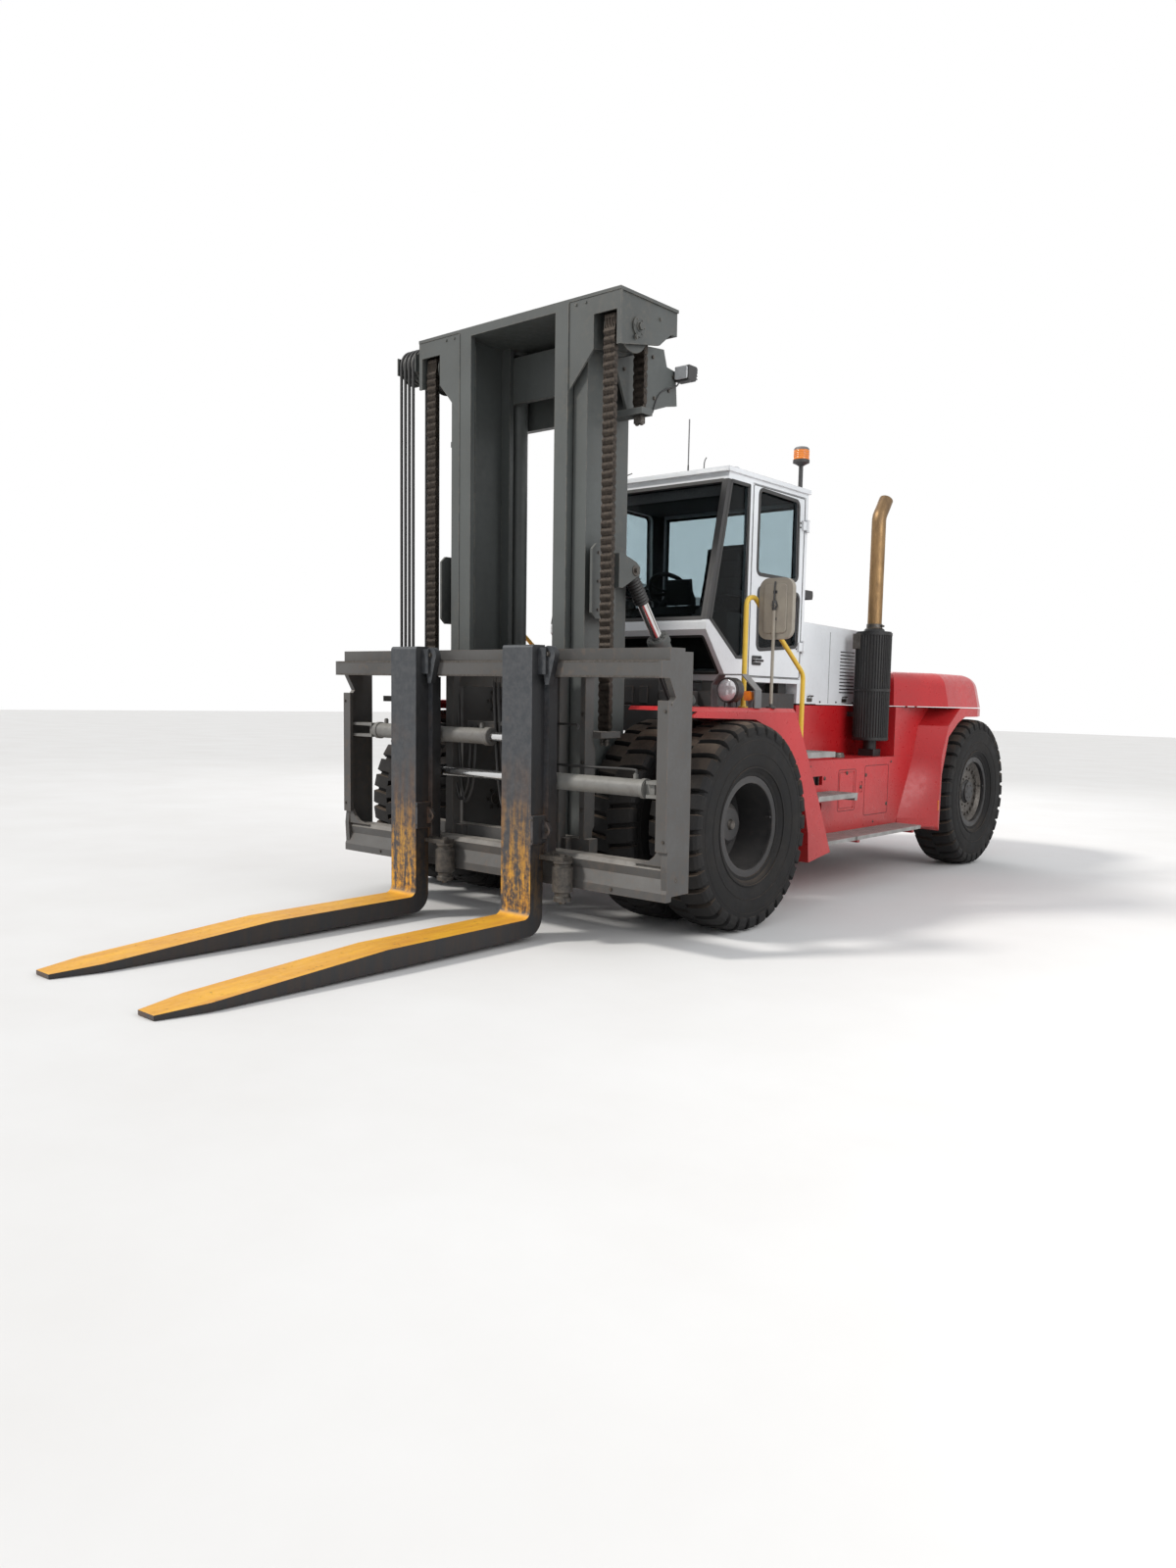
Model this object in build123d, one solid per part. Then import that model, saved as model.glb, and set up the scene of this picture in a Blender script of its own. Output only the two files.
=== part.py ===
from build123d import *
import math
import os

# Heavy forklift truck of the 25 tonne class, in millimetres.
# X points to the truck's left, Y to its back, Z up. Places are measured from the
# ground under the middle of the drive axle, and export moves them to the origin.

# Running gear
WHEELBASE = 4250
TYRE_RADIUS = 685
TYRE_WIDTH = 375
RIM_RADIUS = 305
LUG_HEIGHT = 42
LUG_COUNT = 24
LUG_LEAN = 12
INNER_TWIN_X = 843
TWIN_SPACING = 495
STEER_WHEEL_X = 1125
KINGPIN_X = 975
STEER_LIMIT = 60
STEER_ARM = 170
STEER_ROD_X = 575
SPINDLE_RADIUS = 60
RUN_FIT = 0.4
PAD_FIT = 0.5
CLEAR = 6
BRAKE_RADIUS = 178
LINK_DROP = 155
LINK_THICK = 26

# Mast, in its upright place before it leans
MAST_LEAN = 0.8
PIVOT_Y = -270
PIVOT_Z = 420
PIVOT_PIN = 55
RAIL_DEPTH = 420
RAIL_PLATE = 38
INNER_RAIL_X = 388
INNER_RAIL_WIDTH = 117
INNER_FRONT_Y = -715
INNER_BOTTOM_Z = 560
MAST_TOP_Z = 4000
OUTER_RAIL_X = 515
OUTER_RAIL_WIDTH = 112
OUTER_FRONT_Y = -670
OUTER_BOTTOM_Z = 480
OUTER_TOP_Z = MAST_TOP_Z - 180
HEAD_HALF_WIDTH = 923
HEAD_DEPTH = 597
HEAD_PLATE = 20
HEAD_BEAM = 60
LIFT_X = 440
LIFT_Y = -184
LIFT_RADIUS = 65
LIFT_BOTTOM_Z = 1030
CHAIN_X = 815
CHAIN_WIDTH = 104
CHAIN_DEPTH = 50
CHAIN_PITCH = 63
CHAIN_FRONT_Y = -700
CHAIN_ANCHOR_Z = 1290
SHEAVE_RADIUS = 125
SHEAVE_Z = MAST_TOP_Z - 200
REAR_ANCHOR_Z = MAST_TOP_Z - 700
HOSE_X = -1000
HOSE_PITCH = 43
HOSE_RADIUS = 11
HOSE_SHEAVE = 108
HOSE_Y = -700
HOSE_TOP_Z = MAST_TOP_Z - 140

# Fork frame
FRAME_SHIFT = 172
FRAME_WIDTH = 2923
BAR_FRONT_Y = -1178
BAR_LOW_Z = 1627
BAR_STEP_Z = 1725
BAR_TOP_Z = 1797
BAR_STEP_Y = -1100
BAR_BACK_Y = -960
BEAM_FRONT_Y = -1100
BEAM_BACK_Y = -960
BEAM_LOW_Z = 352
BEAM_TOP_Z = 556
FORK_SPACING = 1046
FORK_MIDDLE_X = 107
FORK_WIDTH = 250
FORK_THICK = 110
FORK_LENGTH = 2400
FORK_TOP_Z = 1817
FORK_UNDER_Z = 50
FORK_TIP_THICK = 24
ROLLER_RADIUS = 63

# Tilt cylinders
TILT_X = 700
TILT_TOP_Y = -313
TILT_TOP_Z = 2331
TILT_FOOT_Y = 393
TILT_FOOT_Z = 1405
TILT_RADIUS = 68
TILT_ROD = 38
EAR_GAP = 38
EAR_PLATE = 24

# Body
BODY_END_Y = WHEELBASE + 680
FENDER_X = 1410
FENDER_IN_X = 786
FENDER_TOP_Z = 1450
BOX_X = 1070
BOX_TOP_Z = 1045
BOX_LOW_Z = 460
STEP_X = 1310
STEP_THICK = 30
REAR_X = 1300
DECK_Z = 1470
YOKE_FRONT_Y = WHEELBASE - 243
YOKE_BACK_Y = WHEELBASE + 250
CORE_LOW_Z = 450
TOW_BORE = 26
TOW_DEPTH = 60
TOW_SLOT_Z = (700, 780)
TOW_WALL = 60
HOOD_X = 700
HOOD_TOP_Z = 2150
HOOD_FRONT_Y = 1892
HOOD_BACK_Y = WHEELBASE - 1310
REAR_HOOD_TOP_Z = 1780
HOOD_ROUND = 150
HOOD_PIN_X = HOOD_X + 16
HOOD_PIN_Z = DECK_Z + 30
HOOD_HINGES = (HOOD_FRONT_Y + 188, HOOD_BACK_Y - 280)
FRAME_X = 400
FRAME_PLATE = 40
CAB_X = 750
CAB_FRONT_Y = 496
CAB_BACK_Y = 1880
CAB_LOW_Z = 1640
CAB_TOP_Z = 3150
BEACON_Z = CAB_TOP_Z + 250
ANTENNA_TOP_Z = CAB_TOP_Z + 450
CAB_WALL = 45
DOOR_FRONT_Y = 1068
DOOR_BACK_Y = 1836
DOOR_LOW_Z = 1680
DOOR_TOP_Z = CAB_TOP_Z - 38
GLASS = 6
MUFFLER_X = 915
MUFFLER_Y = HOOD_BACK_Y - 145
MUFFLER_RADIUS = 145
MUFFLER_TOP_Z = 2110
SEAT_X = 75
SEAT_TOP_Z = CAB_TOP_Z - 350
MIRROR_X = 1368
MIRROR_Y = 400
MIRROR_WIDTH = 258
RAIL_X = 1213

SHEAVE_Y = CHAIN_FRONT_Y + CHAIN_DEPTH + SHEAVE_RADIUS
TYRE_OUTER_X = INNER_TWIN_X + TWIN_SPACING + TYRE_WIDTH / 2
TWIN_MID_X = INNER_TWIN_X + TWIN_SPACING / 2
FORK_FRONT_Y = BAR_FRONT_Y - FORK_THICK
FORK_TIP_Y = FORK_FRONT_Y - FORK_LENGTH
MIRROR_REACH = MIRROR_X + MIRROR_WIDTH / 2
BOX_REAR_Y = WHEELBASE - 910
FLARE_FRONT_Y = WHEELBASE - 1190
REAR_HINGE_Y = BODY_END_Y + 18
REAR_HINGE_Z = DECK_Z + 34
HINGE_RADIUS = 14
HINGE_PIN = 8


def parked(y, z):
    """Y and Z of a mast point once the mast leans to its parked place"""
    angle = math.radians(MAST_LEAN)
    dy = y - PIVOT_Y
    dz = z - PIVOT_Z
    return (PIVOT_Y + dy * math.cos(angle) - dz * math.sin(angle),
            PIVOT_Z + dy * math.sin(angle) + dz * math.cos(angle))


# Origin: on the ground under the middle of the whole truck's box
FRONT_END_Y = parked(FORK_TIP_Y, FORK_UNDER_Z + FORK_TIP_THICK)[0]
ORIGIN_X = (FRAME_SHIFT + FRAME_WIDTH / 2 - MIRROR_REACH) / 2
ORIGIN_Y = (FRONT_END_Y + REAR_HINGE_Y + HINGE_RADIUS) / 2


# Shape helpers
def block(x, y, z):
    """Box between a low and a high value on each axis"""
    size = Box(x[1] - x[0], y[1] - y[0], z[1] - z[0])
    return Pos((x[0] + x[1]) / 2, (y[0] + y[1]) / 2, (z[0] + z[1]) / 2) * size


def outline(points, rounds=None):
    """Closed flat outline, with a radius for some of its corners"""
    face = make_face(Polyline(*points, close=True))
    for number, radius in (rounds or {}).items():
        x, y = points[number]
        corner = face.vertices().sort_by_distance((x, y, 0))[0]
        face = fillet(corner, radius)
    return face


def side_plate(points, x, rounds=None):
    """Outline of (Y, Z) points, from one X to another"""
    face = outline(points, rounds)
    return extrude(Plane.YZ.offset(x[0]) * face, amount=x[1] - x[0])


def plan_plate(points, z, rounds=None):
    """Outline of (X, Y) points, from one Z to another"""
    face = outline(points, rounds)
    return extrude(Plane.XY.offset(z[0]) * face, amount=z[1] - z[0])


def front_plate(points, y, rounds=None):
    """Outline of (X, Z) points, from one Y to another"""
    face = outline(points, rounds)
    return extrude(Plane.XZ.offset(-y[1]) * face, amount=y[1] - y[0])


def round_x(radius, x, y, z):
    """Cylinder along X"""
    return Pos((x[0] + x[1]) / 2, y, z) * Rot(0, 90, 0) * Cylinder(radius, x[1] - x[0])


def round_y(radius, x, y, z):
    """Cylinder along Y"""
    return Pos(x, (y[0] + y[1]) / 2, z) * Rot(90, 0, 0) * Cylinder(radius, y[1] - y[0])


def round_z(radius, x, y, z):
    """Cylinder along Z"""
    return Pos(x, y, (z[0] + z[1]) / 2) * Cylinder(radius, z[1] - z[0])


def turned(profile, middle=(0, 0, 0)):
    """Ring turned about an X axis from (X, radius) points"""
    face = make_face(Polyline(*profile, close=True))
    return Pos(*middle) * revolve(face, Axis.X)


def bar_along(path, radius):
    """Round section pushed along a path"""
    start = Plane(origin=path @ 0, z_dir=path % 0)
    return sweep(start * Circle(radius), path=path)


def mirrored(shape):
    """Same shape on the other side of the truck"""
    return mirror(shape, about=Plane.YZ)


def both(shape):
    """A shape and its twin on the other side"""
    return shape + mirrored(shape)


def joined(shapes):
    """All shapes fused to one"""
    result = shapes[0]
    for shape in shapes[1:]:
        result = result + shape
    return result


def group(shapes):
    """Separate solids of one body, kept in one node"""
    return Compound([solid for shape in shapes for solid in shape.solids()])


# Wheels
def tyre():
    """Tyre about the X axis: a many sided body with two rows of wide shoulder lugs"""
    half = TYRE_WIDTH / 2
    base = TYRE_RADIUS - LUG_HEIGHT
    # Columns: distance in from the sidewall, radius
    sections = [(62, RIM_RADIUS + 27), (0, RIM_RADIUS + 165), (30, base)]
    places = [(-half + inset, radius) for inset, radius in sections]
    places += [(half - inset, radius) for inset, radius in reversed(sections)]
    rings = [(Plane.YZ.offset(x) * RegularPolygon(radius, LUG_COUNT)).faces()[0] for x, radius in places]
    bore = Rot(0, 90, 0) * extrude(RegularPolygon(RIM_RADIUS, LUG_COUNT, major_radius=False), half, both=True)
    body = loft(rings, ruled=True) - bore
    lug = tyre_lug()
    pitch = 360 / LUG_COUNT
    lugs = [Rot(number * pitch, 0, 0) * lug for number in range(LUG_COUNT)]
    other = mirrored(lug)
    lugs += [Rot((number + 0.5) * pitch, 0, 0) * other for number in range(LUG_COUNT)]
    return body + lugs


def tyre_lug():
    """One shoulder lug, leaning, with its corners on the tyre's radius"""
    half = TYRE_WIDTH / 2
    base = TYRE_RADIUS - LUG_HEIGHT
    length = 1.2 * math.pi * TYRE_RADIUS / LUG_COUNT
    lean = math.radians(LUG_LEAN)
    reach = half / 2 * math.sin(lean) + length / 2 * math.cos(lean)
    top = math.sqrt(TYRE_RADIUS ** 2 - reach ** 2)
    # Columns: distance from the lug's middle along the axle, radius
    side = [(-half / 2 + 12, base - 20), (-half / 2 + 12, top), (half / 2 - 24, top),
            (half / 2 - 10, top - 26),
            (half / 2 - 14, base - 62)]
    face = Plane.XZ * outline(side)
    return Pos(half / 2, 0, 0) * Rot(0, 0, LUG_LEAN) * extrude(face, amount=length / 2, both=True)


def rim_ring(dish):
    """One rim with its flanges and a cone that dishes in towards -X by dish"""
    half = 142
    flange = RIM_RADIUS + 24
    profile = [
        (-half, RIM_RADIUS - 16),
        (-half, flange),
        (-half + 15, flange),
        (-half + 15, RIM_RADIUS - 0.3),
        (half - 15, RIM_RADIUS - 0.3),
        (half - 15, flange),
        (half, flange),
        (half, RIM_RADIUS - 16),
    ]
    cone = [
        (-half, RIM_RADIUS - 16),
        (-half + 16, RIM_RADIUS - 16),
        (-half - dish + 16, 235),
        (-half - dish, 235),
    ]
    return turned(profile) + turned(cone)


def twin_rims():
    """Both rims of a drive wheel with disc and planet hub, about the twin's middle"""
    offset = TWIN_SPACING / 2
    dish = offset - 142 - 8
    outer = Pos(offset, 0, 0) * rim_ring(dish)
    inner = Pos(-offset, 0, 0) * mirrored(rim_ring(dish))
    disc = turned([(-12, 150), (-12, 242), (12, 242), (12, 150)])
    hub = turned([(-70, 0), (-70, 165), (60, 165), (75, 140), (215, 140), (245, 105), (250, 0)])
    bore = round_x(SPINDLE_RADIUS + RUN_FIT, (-71, 40), 0, 0)
    return joined([outer, inner, disc, hub]) - bore


def steer_rim():
    """Rim of a steered wheel with its flush bolted hub, about the wheel's middle"""
    ring = rim_ring(-122)
    disc = turned([(-36, 100), (-36, 240), (-16, 240), (-16, 100)])
    hub = turned([(-36, 0), (-36, 130), (40, 130), (95, 95), (110, 95), (118, 0)])
    bore = round_x(SPINDLE_RADIUS + RUN_FIT, (-37, 60), 0, 0)
    return joined([ring, disc, hub]) - bore


def front_wheel_parts():
    """Twin tyres and rims of the left drive wheel"""
    one = tyre()
    near = Pos(INNER_TWIN_X, 0, TYRE_RADIUS) * one
    far = Pos(INNER_TWIN_X + TWIN_SPACING, 0, TYRE_RADIUS) * one
    rims = Pos(TWIN_MID_X, 0, TYRE_RADIUS) * twin_rims()
    return group([near, far]), rims


def rear_wheel_parts():
    """Tyre and rim of the left steered wheel"""
    place = Pos(STEER_WHEEL_X, WHEELBASE, TYRE_RADIUS)
    return place * tyre(), place * steer_rim()


# Axles
def front_axle():
    """Drive axle housing with spindles and the mast's pivot brackets"""
    z = TYRE_RADIUS
    bulge = Pos(0, 0, z) * Sphere(200)
    tube = round_x(150, (-620, 620), 0, z)
    brake = round_x(BRAKE_RADIUS, (560, 640), 0, z)
    arm = round_x(130, (640, TWIN_MID_X - 78), 0, z)
    spindle = round_x(SPINDLE_RADIUS, (TWIN_MID_X - 78, TWIN_MID_X + 30), 0, z)
    saddle = block((FRAME_X - 60, FRAME_X + FRAME_PLATE), (0, 160), (z - 60, z + 190))
    bracket_outline = [
        (PIVOT_Y - 80, PIVOT_Z - 20),
        (PIVOT_Y - 50, PIVOT_Z - 85),
        (PIVOT_Y + 40, PIVOT_Z - 95),
        (20, z - 160),
        (-60, z + 60),
        (PIVOT_Y + 50, PIVOT_Z + 85),
        (PIVOT_Y - 20, PIVOT_Z + 70),
        (PIVOT_Y - 50, PIVOT_Z + 45),
        (PIVOT_Y - 75, PIVOT_Z + 5),
    ]
    bracket_x = (OUTER_RAIL_X - 75, OUTER_RAIL_X - 10)
    bracket = side_plate(bracket_outline, bracket_x)
    pin = round_x(PIVOT_PIN, (bracket_x[0], OUTER_RAIL_X + OUTER_RAIL_WIDTH), PIVOT_Y, PIVOT_Z)
    return joined([bulge, tube, both(joined([brake, arm, spindle, saddle, bracket, pin]))])


def rear_axle():
    """Steer axle beam with its kingpin bosses and steering cylinder"""
    z = TYRE_RADIUS
    beam = block((-KINGPIN_X, KINGPIN_X), (WHEELBASE - 85, WHEELBASE + 85), (z - 85, z + 85))
    boss = round_z(92, KINGPIN_X, WHEELBASE, (z - 95, z + 95))
    tip = block((KINGPIN_X, KINGPIN_X + 100), (WHEELBASE - 90, WHEELBASE + 90), (z - 90, z + 90))
    bore = round_z(45 + RUN_FIT, KINGPIN_X, WHEELBASE, (z - 96, z + 96))
    pivot = round_y(110, 0, (YOKE_FRONT_Y, YOKE_BACK_Y), z)
    barrel = round_x(70, (-340, 340), WHEELBASE - STEER_ARM, z)
    rod_bore = round_x(35 + RUN_FIT, (-341, 341), WHEELBASE - STEER_ARM, z)
    lug = block((-300, -230), (WHEELBASE - 170, WHEELBASE - 80), (z - 60, z + 60))
    lugs = both(lug)
    body = joined([beam - both(tip), both(boss), pivot, barrel, lugs])
    return body - both(bore) - rod_bore


def knuckle():
    """Left knuckle: arms above and below the boss, kingpin, web and spindle"""
    z = TYRE_RADIUS
    y = WHEELBASE
    pin = round_z(45, KINGPIN_X, y, (z - 150, z + 150))
    top = round_z(80, KINGPIN_X, y, (z + 95 + RUN_FIT, z + 150))
    top += block((KINGPIN_X, KINGPIN_X + 113), (y - 80, y + 80), (z + 95 + RUN_FIT, z + 150))
    low = round_z(80, KINGPIN_X, y, (z - 150, z - 95 - RUN_FIT))
    low += block((KINGPIN_X, KINGPIN_X + 113), (y - 80, y + 80), (z - 150, z - 95 - RUN_FIT))
    web = block((KINGPIN_X + 98, KINGPIN_X + 113), (y - 80, y + 80), (z - 150, z + 150))
    spindle = round_x(SPINDLE_RADIUS, (KINGPIN_X + 100, STEER_WHEEL_X + 50), y, z)
    arm = block((KINGPIN_X - 40, KINGPIN_X + 40), (y - STEER_ARM - 35, y - 60), (z - 150, z - 125))
    stud = round_z(16, KINGPIN_X, y - STEER_ARM, (z - LINK_DROP - LINK_THICK - 6, z - 126))
    return joined([pin, top, low, web, spindle, arm, stud])


def steer_link():
    """Left link from the knuckle's arm to the steering rod"""
    y = WHEELBASE - STEER_ARM
    levels = (TYRE_RADIUS - LINK_DROP - LINK_THICK, TYRE_RADIUS - LINK_DROP)
    bar = block((STEER_ROD_X, KINGPIN_X), (y - 25, y + 25), levels)
    ends = round_z(34, KINGPIN_X, y, levels) + round_z(34, STEER_ROD_X, y, levels)
    return joined([bar, ends]) - round_z(16 + RUN_FIT, KINGPIN_X, y, (levels[0] - 1, levels[1] + 1))


def steer_rod():
    """Rod through the steering cylinder, with an eye at each end"""
    y = WHEELBASE - STEER_ARM
    rod = round_x(35, (-STEER_ROD_X + 15, STEER_ROD_X - 15), y, TYRE_RADIUS)
    eye = round_z(52, STEER_ROD_X, y, (TYRE_RADIUS - 40, TYRE_RADIUS + 40))
    stud = round_z(22, STEER_ROD_X, y, (TYRE_RADIUS - LINK_DROP + PAD_FIT, TYRE_RADIUS - 40))
    return rod + both(eye) + both(stud)


# Chassis
def frame():
    """Two long frame plates, cross members, cab deck and rear counterweight core"""
    x = (FRAME_X, FRAME_X + FRAME_PLATE)
    kick = WHEELBASE - 690
    front = [(160, 480), (kick, 480), (kick, 1040), (260, 1040), (160, 900)]
    plate = side_plate(front, x)
    tower = side_plate([(475, 1040), (780, 1040), (780, 1440), (475, 1440)], x)
    rear = side_plate([(kick, 820), (YOKE_BACK_Y, 820), (YOKE_BACK_Y, 1040), (kick, 1040)], (290, 330))
    step = block((290, FRAME_X + FRAME_PLATE), (kick - 40, kick), (480, 1040))
    hanger = block((220, 330), (YOKE_FRONT_Y - 55, YOKE_FRONT_Y), (570, 1040))
    yoke = block((-330, 330), (YOKE_FRONT_Y - 55, YOKE_FRONT_Y), (570, 800))
    tilt_beam = block((-FENDER_IN_X, FENDER_IN_X), (475, 560), (1250, 1440))
    cross = [block((-FRAME_X, FRAME_X), (y, y + 30), (560, 1000)) for y in (700, 1700, kick - 360)]
    deck = block((-690, 690), (700, CAB_BACK_Y - 10), (1440, 1560))
    legs = block((FRAME_X, FRAME_X + FRAME_PLATE), (CAB_BACK_Y - 230, CAB_BACK_Y - 10), (1040, 1440))
    mounts = [block((x0, x0 + 120), (y0, y0 + 120), (1560, CAB_LOW_Z))
              for x0 in (-640, 520) for y0 in (800, 1700)]
    one = joined([plate, tower, rear, step, hanger, legs])
    lug = tilt_lug(TILT_X, TILT_FOOT_Y, TILT_FOOT_Z)
    pieces = [both(one), yoke, tilt_beam, deck, both(lug)] + cross + mounts
    return joined(pieces)


def tilt_span():
    """Length between the tilt cylinder's pins, and its slope in degrees"""
    y, z = parked(TILT_TOP_Y, TILT_TOP_Z)
    length = math.hypot(TILT_FOOT_Y - y, z - TILT_FOOT_Z)
    slope = math.degrees(math.atan2(z - TILT_FOOT_Z, TILT_FOOT_Y - y))
    return length, slope


def tilt_lug(x, y, z):
    """Two ears that hold the barrel's eye, with the pin through them"""
    ear = [(y - 60, z - 20), (y - 30, z - 58), (480, 1270), (480, z + 30), (y, z + 60), (y - 40, z + 45)]
    reach = EAR_GAP + EAR_PLATE
    inner = side_plate(ear, (x - reach, x - EAR_GAP))
    outer = side_plate(ear, (x + EAR_GAP, x + reach))
    pin = round_x(30, (x - reach, x + reach), y, z)
    return joined([inner, outer, pin])


def front_fender():
    """Left drive wheel fender: sloped edge, side skirt and mudguard sheet"""
    arch = [(-560, 1386), (150, 1375), (314, 1324), (444, 1270), (540, 1189), (654, 1064),
            (759, 923), (841, 745), (896, 565), (915, 350)]
    rear_edge = [(1235, 398), (1025, 811), (838, 1141), (667, 1425)]
    skirt = side_plate(arch + rear_edge + [(-520, 1425), (-560, 1400)], (FENDER_X - 14, FENDER_X))
    top = side_plate([(-560, 1425), (-535, 1450), (667, 1450), (667, 1425)], (900, FENDER_X))
    slope = front_plate([(FENDER_X - 25, 1451), (FENDER_X + 1, 1451), (FENDER_X + 1, 1420)], (-561, 668))
    sheet_out = [(y + 12, z + 6) for y, z in arch]
    sheet = side_plate(arch[1:] + sheet_out[:0:-1], (900, FENDER_X - 14))
    inner = block((FENDER_IN_X, FENDER_IN_X + 14), (475, 667), (1240, 1450))
    inner_top = block((FENDER_IN_X, 900), (475, 667), (1425, 1450))
    back = side_plate([(640, 1425), (667, 1425), (1025, 811), (1235, 398), (1205, 398), (1000, 800)],
                      (900, FENDER_X - 14))
    return joined([skirt, top - slope, sheet, inner, inner_top, back])


def side_box():
    """Left tank box with the bracket rail under its platform"""
    low_rear = BOX_REAR_Y - 300
    body = side_plate([(1260, BOX_LOW_Z), (low_rear, BOX_LOW_Z), (BOX_REAR_Y, BOX_TOP_Z), (1180, BOX_TOP_Z),
                       (1180, 760)],
                      (FRAME_X + FRAME_PLATE, BOX_X))
    slots = [block((BOX_X - 60, BOX_X + 1), (1300, 1700), (z, z + 70)) for z in (850, 640)]
    # Columns: front, back, low, high of the shallow lids on the box's side
    lids = [(1980, 2230, 640, 940), (2330, 2380, 760, 850)]
    grooves = []
    for front, back, low, high in lids:
        groove = block((BOX_X - 6, BOX_X + 1), (front, back), (low, high))
        grooves.append(groove - block((BOX_X - 7, BOX_X + 2), (front + 8, back - 8), (low + 8, high - 8)))
    under = block((BOX_X - 200, BOX_X), (1900, low_rear - 100), (BOX_LOW_Z - 60, BOX_LOW_Z - STEP_THICK))
    under += block((BOX_X - 200, BOX_X - 20), (1900, low_rear - 100),
                   (BOX_LOW_Z - STEP_THICK - 1, BOX_LOW_Z + 1))
    arms = [block((BOX_X - 200, STEP_X - 20), (y, y + 40), (BOX_LOW_Z - 60, BOX_LOW_Z - STEP_THICK))
            for y in (1900, low_rear - 140)]
    shell = body
    for cut in slots + grooves:
        shell = shell - cut
    return joined([shell, under] + arms)


def side_steps():
    """Left platform and both steps, on the tank box"""
    low_rear = BOX_REAR_Y - 300
    platform = plan_plate([(BOX_X, 1792), (STEP_X + 28, 1319), (STEP_X, low_rear - 10),
                           (BOX_X, low_rear - 2)],
                          (BOX_LOW_Z - STEP_THICK, BOX_LOW_Z))
    mid = plan_plate([(BOX_X, 1230), (STEP_X - 10, 1230), (STEP_X - 10, 1850), (BOX_X, 1850)], (768, 798))
    mid += plan_plate([(BOX_X, 1810), (STEP_X - 10, 1810), (STEP_X - 10, 1850), (BOX_X, 1850)], (740, 769))
    top = block((BOX_X - 60, STEP_X - 10), (1000, 1461), (1096, 1130))
    top += block((BOX_X - 60, BOX_X), (1200, 1461), (BOX_TOP_Z, 1097))
    return group([platform, mid, top])


def rear_flare():
    """Left rear fender: from its front edge on the body out to the wheel arch"""
    w = WHEELBASE
    # Columns: Y at the body, Y at the fender's outer edge, Z
    front = [(w - 610, w - 460, DECK_Z), (w - 829, w - 700, 1311), (BOX_REAR_Y, w - 820, BOX_TOP_Z),
             (FLARE_FRONT_Y, w - 838, 499), (FLARE_FRONT_Y, w - 838, 418)]
    # Columns: Y, Z of the wheel arch, up to the tail
    arch = [(w - 814, 380), (w - 801, 884), (w - 689, 1214), (w - 490, 1340), (w - 333, 1392),
            (w + 630, 1400),
            (w + 630, DECK_Z)]
    near = [(y, z) for y, outer, z in front] + arch
    far = [(outer, z) for y, outer, z in front] + arch
    inner = block((BOX_X - 30, BOX_X), (w - 610, w + 630), (1392, DECK_Z))
    inner += side_plate(near, (BOX_X - 30, BOX_X))
    wedge = loft([Plane.YZ.offset(BOX_X) * outline(near), Plane.YZ.offset(REAR_X) * outline(far)], ruled=True)
    return inner + wedge


def rear_body():
    """Engine bay walls, flared rear fenders, deck and counterweight"""
    w = WHEELBASE
    front = BOX_REAR_Y + 81
    edge = [(BOX_REAR_Y, BOX_TOP_Z), (front, 1311), (w - 610, DECK_Z)]
    wall = side_plate([(HOOD_FRONT_Y, BOX_TOP_Z)] + edge + [(HOOD_FRONT_Y, DECK_Z)], (HOOD_X - 30, HOOD_X))
    shoulder = side_plate([(HOOD_BACK_Y + 10, BOX_TOP_Z)] + edge + [(HOOD_BACK_Y + 10, DECK_Z)],
                          (HOOD_X - 30, BOX_X))
    tail = rear_tail(REAR_X)
    right = [(-x, y) for x, y in reversed(tail)]
    deck = plan_plate([(-BOX_X, w - 750), (BOX_X, w - 750), (BOX_X, w - 610),
                       (REAR_X, w - 460)] + tail + right
                      + [(-REAR_X, w - 460), (-BOX_X, w - 610)], (1400, DECK_Z))
    back = [(330, YOKE_BACK_Y), (330, w + 350), (440, w + 490), (535, w + 650), (480, BODY_END_Y)]
    core = plan_plate(back + [(-x, y) for x, y in reversed(back)], (CORE_LOW_Z, 1400))
    over = block((-330, 330), (w - 650, YOKE_BACK_Y), (1040, 1400))
    tow_bore = round_z(TOW_BORE, 0, BODY_END_Y - TOW_DEPTH, (CORE_LOW_Z - 1, TOW_SLOT_Z[1] + TOW_WALL))
    slot = block((-120, 120), (BODY_END_Y - 150, BODY_END_Y + 1), TOW_SLOT_Z)
    corner = [(REAR_X + 1, BODY_END_Y + 1), (REAR_X + 1, tail[0][1] - 2)]
    trim = plan_plate([(x + 1, y) for x, y in tail] + corner, (300, 1500))
    cab_wall = block((-HOOD_X, HOOD_X), (HOOD_FRONT_Y, HOOD_FRONT_Y + 30), (1045, DECK_Z))
    one = both(joined([rear_flare() - trim, wall, shoulder]))
    return joined([one, deck, over, cab_wall, core - slot - tow_bore])


def rear_tail(x):
    """Rounded tail of the deck and the rear hood, as (X, Y) points on the left"""
    w = WHEELBASE
    return [(x, w - 50), (1180, w + 310), (860, w + 580), (480, BODY_END_Y)]


def engine():
    """Engine and gearbox as one plain mass on the frame"""
    front = HOOD_FRONT_Y + 68
    back = HOOD_BACK_Y - 60
    middle = (front + back) / 2
    mount = block((-FRAME_X, FRAME_X), (middle - 60, middle + 60), (700, 760))
    return block((-330, 330), (front, back), (700, 1560)) + mount


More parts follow.
